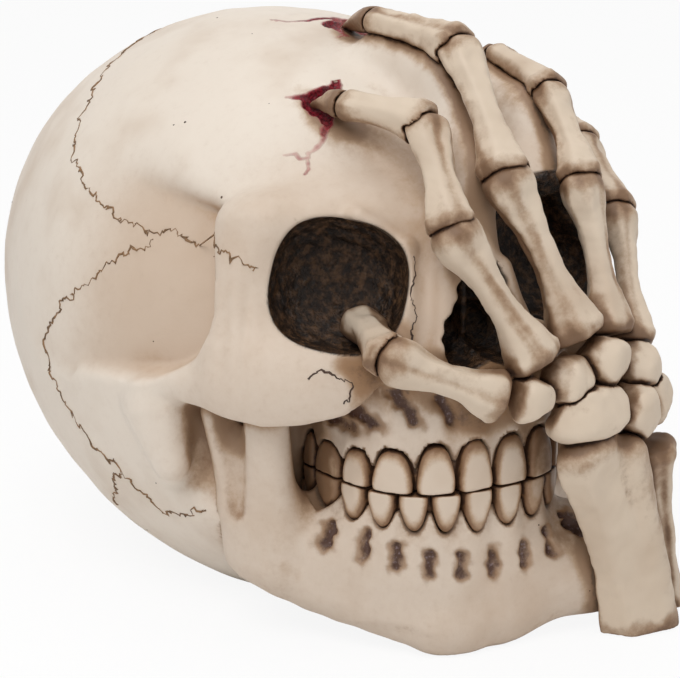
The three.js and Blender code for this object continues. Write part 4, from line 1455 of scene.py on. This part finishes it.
def detail_skull(material):
    """Lays tan, stains, painted shade and glints, dark sockets and red cracks over the ivory, each where
    its mask is.
    """
    tree = material.node_tree
    shader = tree.nodes["Principled BSDF"].inputs
    ivory = tree.nodes["aged_paint"].outputs
    where = object_place(tree)
    socket, gore, stain, tan = (add(tree, "ShaderNodeAttribute", attribute_name=name).outputs["Fac"]
                                for name in ("socket", "gore", "stain", "tan"))
    mottle = noise(tree, where, 420, 6, 0.7)
    fine = noise(tree, where, 1100, 4, 0.6)
    # A purple-brown stain, speckled with lilac grey that stands for painted glints.
    stain_and_glints = mix_colour(tree, soft_step(tree, fine, 0.52, 0.76), linear(82, 57, 46), linear(132, 116, 118))
    dark = mix_colour(tree, soft_step(tree, mottle, 0.4, 0.7), linear(38, 28, 22), linear(106, 78, 55))
    blood = mix_colour(tree, soft_step(tree, fine, 0.35, 0.65), linear(84, 8, 20), linear(150, 20, 40))
    blood = mix_colour(tree, soft_step(tree, gore, 0.86, 1.0), blood, linear(44, 6, 13))
    layers = (
        (soft_step(tree, add_noise(tree, tan, mottle, 0.3), 0.05, 1.0, 0.6), linear(188, 158, 130)),
        (soft_step(tree, add_noise(tree, stain, mottle, 0.5), 0.0, 0.6, 0.75), linear(146, 110, 76)),
        (soft_step(tree, add_noise(tree, stain, mottle, 0.8), 0.55, 1.0), stain_and_glints),
        (socket, dark),
        (soft_step(tree, add_noise(tree, gore, mottle, 0.5), 0.35, 0.68, 0.55), linear(190, 84, 92)),
        (soft_step(tree, gore, 0.52, 0.76), blood),
    )
    colour = ivory["Colour"]
    for mask, coat in layers:
        colour = mix_colour(tree, mask, colour, coat)
    wet = math_node(tree, "MAXIMUM", socket, soft_step(tree, gore, 0.4, 0.7))
    gloss = add(tree, "ShaderNodeMix", {3: WET_ROUGHNESS})
    rough_bowl = math_node(tree, "MULTIPLY", math_node(tree, "ADD", mottle, fine), wet)
    height = math_node(tree, "ADD", ivory["Height"], math_node(tree, "MULTIPLY", rough_bowl, BOWL_BUMP))
    wire(tree, (colour, shader["Base Color"]), (wet, gloss.inputs[0]),
         (ivory["Roughness"], gloss.inputs[2]), (gloss.outputs[0], shader["Roughness"]),
         (height, tree.nodes["casting_bump"].inputs["Height"]))


detail_skull(skull_ivory)
print("skull paint of", len(skull_ivory.node_tree.nodes), "nodes")

# %% [markdown]
# ### Pieces on the frame
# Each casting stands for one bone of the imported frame, in that bone's place. It hides the plain solid,
# which stays behind for collisions, and it rides on the one body that the ornament has.

# %% Dress the pieces
PAINTS = {"cranium": (skull_ivory, "skull_resin"), "mandible": (skull_ivory, "skull_resin"),
          "upper_teeth": (tooth_ivory, "tooth_resin"), "lower_teeth": (tooth_ivory, "tooth_resin")}
for name, mesh in meshes.items():
    paint, slot = PAINTS.get(name, (bone_ivory, "bone_resin"))
    mesh.materials.append(paint)
    piece = bpy.data.objects.new(f"{name}_casting", mesh)
    scene.collection.objects.link(piece)
    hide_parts(name)
    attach(piece, "root")
print("pieces:", len(meshes))

# %% [markdown]
# ## Sutures and pinholes
# On the real casting thin wandering lines mark where the plates of the skull meet, and small air bubbles
# left pinholes in the resin. Drawn in the paint, both would be missing from the mesh. Both follow the
# surface, so both are Geometry Nodes: a line of a few places is resampled, shaken by noise, drawn onto
# the skull and swept, and the pinholes are scattered dots.

# %% Geometry node helpers
def new_group(name, inputs):
    tree = bpy.data.node_groups.new(name, "GeometryNodeTree")
    tree.interface.new_socket("Geometry", in_out="INPUT", socket_type="NodeSocketGeometry")
    for socket, kind in inputs:
        tree.interface.new_socket(socket, in_out="INPUT", socket_type=kind)
    tree.interface.new_socket("Geometry", in_out="OUTPUT", socket_type="NodeSocketGeometry")
    return tree


def grown(holder, tree, settings):
    """The mesh that a node group makes on an object, as a plain mesh of its own."""
    modifier = holder.modifiers.new(tree.name, "NODES")
    modifier.node_group = tree
    for item in tree.interface.items_tree:
        if item.in_out == "INPUT" and item.name in settings:
            modifier[item.identifier] = settings[item.name]
    bpy.context.view_layer.update()
    ready = holder.evaluated_get(bpy.context.evaluated_depsgraph_get())
    mesh = bpy.data.meshes.new_from_object(ready)
    holder.modifiers.remove(modifier)
    mesh.name = tree.name
    return mesh


print("geometry node helpers: new_group and grown")

# %% Suture node group
def suture_group():
    tree = new_group("suture_lines", (("Skull", "NodeSocketObject"), ("Wander", "NodeSocketFloat"),
                                      ("Girth", "NodeSocketFloat"), ("Paint", "NodeSocketMaterial")))
    given = add(tree, "NodeGroupInput").outputs
    line = add(tree, "GeometryNodeResampleCurve", {"Length": 0.0005}, mode="LENGTH")
    wander = add(tree, "ShaderNodeTexNoise", {"Scale": 330, "Detail": 3, "Roughness": 0.75})
    centred = add(tree, "ShaderNodeVectorMath", {1: (0.5, 0.5, 0.5)}, operation="SUBTRACT")
    scaled = add(tree, "ShaderNodeVectorMath", operation="SCALE")
    shaken = add(tree, "GeometryNodeSetPosition")
    skull = add(tree, "GeometryNodeObjectInfo")
    nearest = add(tree, "GeometryNodeProximity")
    laid = add(tree, "GeometryNodeSetPosition")
    uneven = add(tree, "ShaderNodeTexNoise", {"Scale": 260})
    swell = add(tree, "ShaderNodeMapRange",
                {"From Min": 0.35, "From Max": 0.65, "To Min": 0.35, "To Max": 1.3})
    ring = add(tree, "GeometryNodeCurvePrimitiveCircle", {"Resolution": 6})
    swept = add(tree, "GeometryNodeCurveToMesh", {"Fill Caps": True})
    real = add(tree, "GeometryNodeRealizeInstances")
    coat = add(tree, "GeometryNodeSetMaterial")
    wire(tree, (given["Geometry"], line.inputs["Curve"]), (line.outputs[0], shaken.inputs["Geometry"]),
         (wander.outputs["Color"], centred.inputs[0]), (centred.outputs[0], scaled.inputs[0]),
         (given["Wander"], scaled.inputs["Scale"]), (scaled.outputs[0], shaken.inputs["Offset"]),
         (given["Skull"], skull.inputs["Object"]), (skull.outputs["Geometry"], nearest.inputs[0]),
         (shaken.outputs[0], laid.inputs["Geometry"]),
         (nearest.outputs["Position"], laid.inputs["Position"]),
         (laid.outputs[0], swept.inputs["Curve"]), (given["Girth"], ring.inputs["Radius"]),
         (ring.outputs[0], swept.inputs["Profile Curve"]), (uneven.outputs[0], swell.inputs["Value"]),
         (swell.outputs["Result"], swept.inputs["Scale"]), (swept.outputs[0], real.inputs[0]),
         (real.outputs[0], coat.inputs["Geometry"]), (given["Paint"], coat.inputs["Material"]),
         (coat.outputs[0], add(tree, "NodeGroupOutput").inputs[0]))
    return tree


SUTURES = suture_group()
print("suture group of", len(SUTURES.nodes), "nodes")

# %% Paths of the sutures
SUTURE_PLACES = (
    ((-179, 50), (-160, 53), (-135, 51), (-113, 42), (-102, 36), (-88, 31), (-77, 27), (-64, 25)),
    ((-64, 25), (-60, 27), (-53, 24.5, 2), (-47, 23, 6), (-42, 21, 7), (-37, 19, 7)),
    ((-64, 24), (-74, 18.5), (-82, 11), (-89, 5), (-94, -2), (-92, -10), (-79, -21), (-72, -25)),
    ((-72, -25), (-78, -31), (-86, -39)),
    ((-180, 50), (-179, 44), (-180, 37), (-170, 31), (-157, 22), (-144, 11), (-136, -1), (-131, -13),
     (-129, -23)),
    ((-72, -25), (-67, -29), (-62.5, -33), (-56, -31), (-50, -28)),
)
CHEEK_CRACK = ((-41.5, -75.5, 70.5), (-38.6, -77, 72.4), (-36.9, -77.6, 71.4), (-34.5, -79.3, 69.8),
               (-32.4, -80.3, 69.3), (-33.6, -80.4, 66.1), (-35, -79.6, 64.6))
NASAL_CRACK = ((-14.8, -79, 97), (-15.2, -80, 93), (-17, -81.5, 88), (-17.3, -82.5, 84), (-18.6, -83.5, 79))


def curve_of(name, lines):
    curve = bpy.data.curves.new(name, "CURVE")
    curve.dimensions = "3D"
    for line in lines:
        spline = curve.splines.new("POLY")
        spline.points.add(len(line) - 1)
        for point, place in zip(spline.points, line):
            point.co = (*(np.array(place) * MM), 1)
    holder = bpy.data.objects.new(name, curve)
    scene.collection.objects.link(holder)
    return holder


right_lines = [[on_skull(*place) for place in line] for line in SUTURE_PLACES]
left_lines = [[place * (-1, 1, 1) for place in line] for line in right_lines]
print("suture lines:", len(right_lines), "on each side")

# %% Lay the sutures
def plain_paint(name, colour, rough):
    """A brown that is rubbed darker in places."""
    material, tree, shader = new_material(name)
    darkened = soft_step(tree, noise(tree, object_place(tree), 500, 3), 0.35, 0.65)
    darker = [0.45 * part for part in linear(*colour)[:3]] + [1.0]
    tree.links.new(mix_colour(tree, darkened, linear(*colour), darker), shader["Base Color"])
    shader["Roughness"].default_value = rough
    return material


skull_piece = scene.objects["cranium_casting"]
suture_brown = plain_paint("suture_brown", (146, 112, 78), 0.7)
crack_brown = plain_paint("crack_brown", (72, 50, 36), 0.7)
line_sets = (
    ("sutures", right_lines + left_lines, 0.009, 0.0003, suture_brown),
    ("face_cracks", [CHEEK_CRACK, NASAL_CRACK], 0.005, 0.00024, crack_brown),
)
extras = {}
for name, lines, wander, girth, paint in line_sets:
    holder = curve_of(name, lines)
    settings = {"Skull": skull_piece, "Wander": wander, "Girth": girth, "Paint": paint}
    extras[name] = grown(holder, SUTURES, settings)
    bpy.data.objects.remove(holder)
print("suture faces:", [len(mesh.polygons) for mesh in extras.values()])

# %% Pinholes
LOWEST_PINHOLE = 0.0008
PINHOLE_SETS = (
    ("skull_pinholes", "cranium_casting", 900, 3),
    ("jaw_pinholes", "mandible_casting", 1100, 5),
)


def pinhole_group():
    tree = new_group("pinholes", (("Density", "NodeSocketFloat"), ("Seed", "NodeSocketInt"),
                                  ("Paint", "NodeSocketMaterial")))
    given = add(tree, "NodeGroupInput").outputs
    spread = add(tree, "GeometryNodeDistributePointsOnFaces")
    dot = add(tree, "GeometryNodeMeshIcoSphere", {"Radius": 0.0003, "Subdivisions": 1})
    girth = add(tree, "FunctionNodeRandomValue", {2: 0.5, 3: 1.4})
    flat = add(tree, "ShaderNodeCombineXYZ", {"Z": 0.35})
    put = add(tree, "GeometryNodeInstanceOnPoints")
    real = add(tree, "GeometryNodeRealizeInstances")
    coat = add(tree, "GeometryNodeSetMaterial")
    level = add(tree, "ShaderNodeSeparateXYZ")
    clear = add(tree, "FunctionNodeCompare", {"B": LOWEST_PINHOLE}, operation="GREATER_THAN")
    wire(tree, (add(tree, "GeometryNodeInputPosition").outputs[0], level.inputs[0]),
         (level.outputs["Z"], clear.inputs["A"]), (clear.outputs[0], spread.inputs["Selection"]),
         (given["Geometry"], spread.inputs["Mesh"]), (given["Density"], spread.inputs["Density"]),
         (given["Seed"], spread.inputs["Seed"]), (spread.outputs["Points"], put.inputs["Points"]),
         (spread.outputs["Rotation"], put.inputs["Rotation"]),
         (dot.outputs["Mesh"], put.inputs["Instance"]),
         (girth.outputs[1], flat.inputs["X"]), (girth.outputs[1], flat.inputs["Y"]),
         (flat.outputs[0], put.inputs["Scale"]), (put.outputs[0], real.inputs[0]),
         (real.outputs[0], coat.inputs["Geometry"]), (given["Paint"], coat.inputs["Material"]),
         (coat.outputs[0], add(tree, "NodeGroupOutput").inputs[0]))
    return tree


PINHOLES = pinhole_group()
pinhole_brown = plain_paint("pinhole_brown", (92, 70, 52), 0.8)
for name, host, density, seed in PINHOLE_SETS:
    holder = bpy.data.objects.new(name, scene.objects[host].data)
    scene.collection.objects.link(holder)
    extras[name] = grown(holder, PINHOLES, {"Density": density, "Seed": seed, "Paint": pinhole_brown})
    bpy.data.objects.remove(holder)
for name, mesh in extras.items():
    piece = bpy.data.objects.new(name, mesh)
    scene.collection.objects.link(piece)
    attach(piece, "root")
print("extras:", {name: len(mesh.polygons) for name, mesh in extras.items()})

# %% [markdown]
# ## Finish
# The box of the sculpted pieces is put beside the box of the imported solids, so that the two can be
# compared.

# %% Finish
low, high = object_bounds()
{"cad": [list(cad_low), list(cad_high)], "visual": [list(low), list(high)]}
print("visual box", [round(value * PER_METRE, 2) for value in (*low, *high)], "mm")
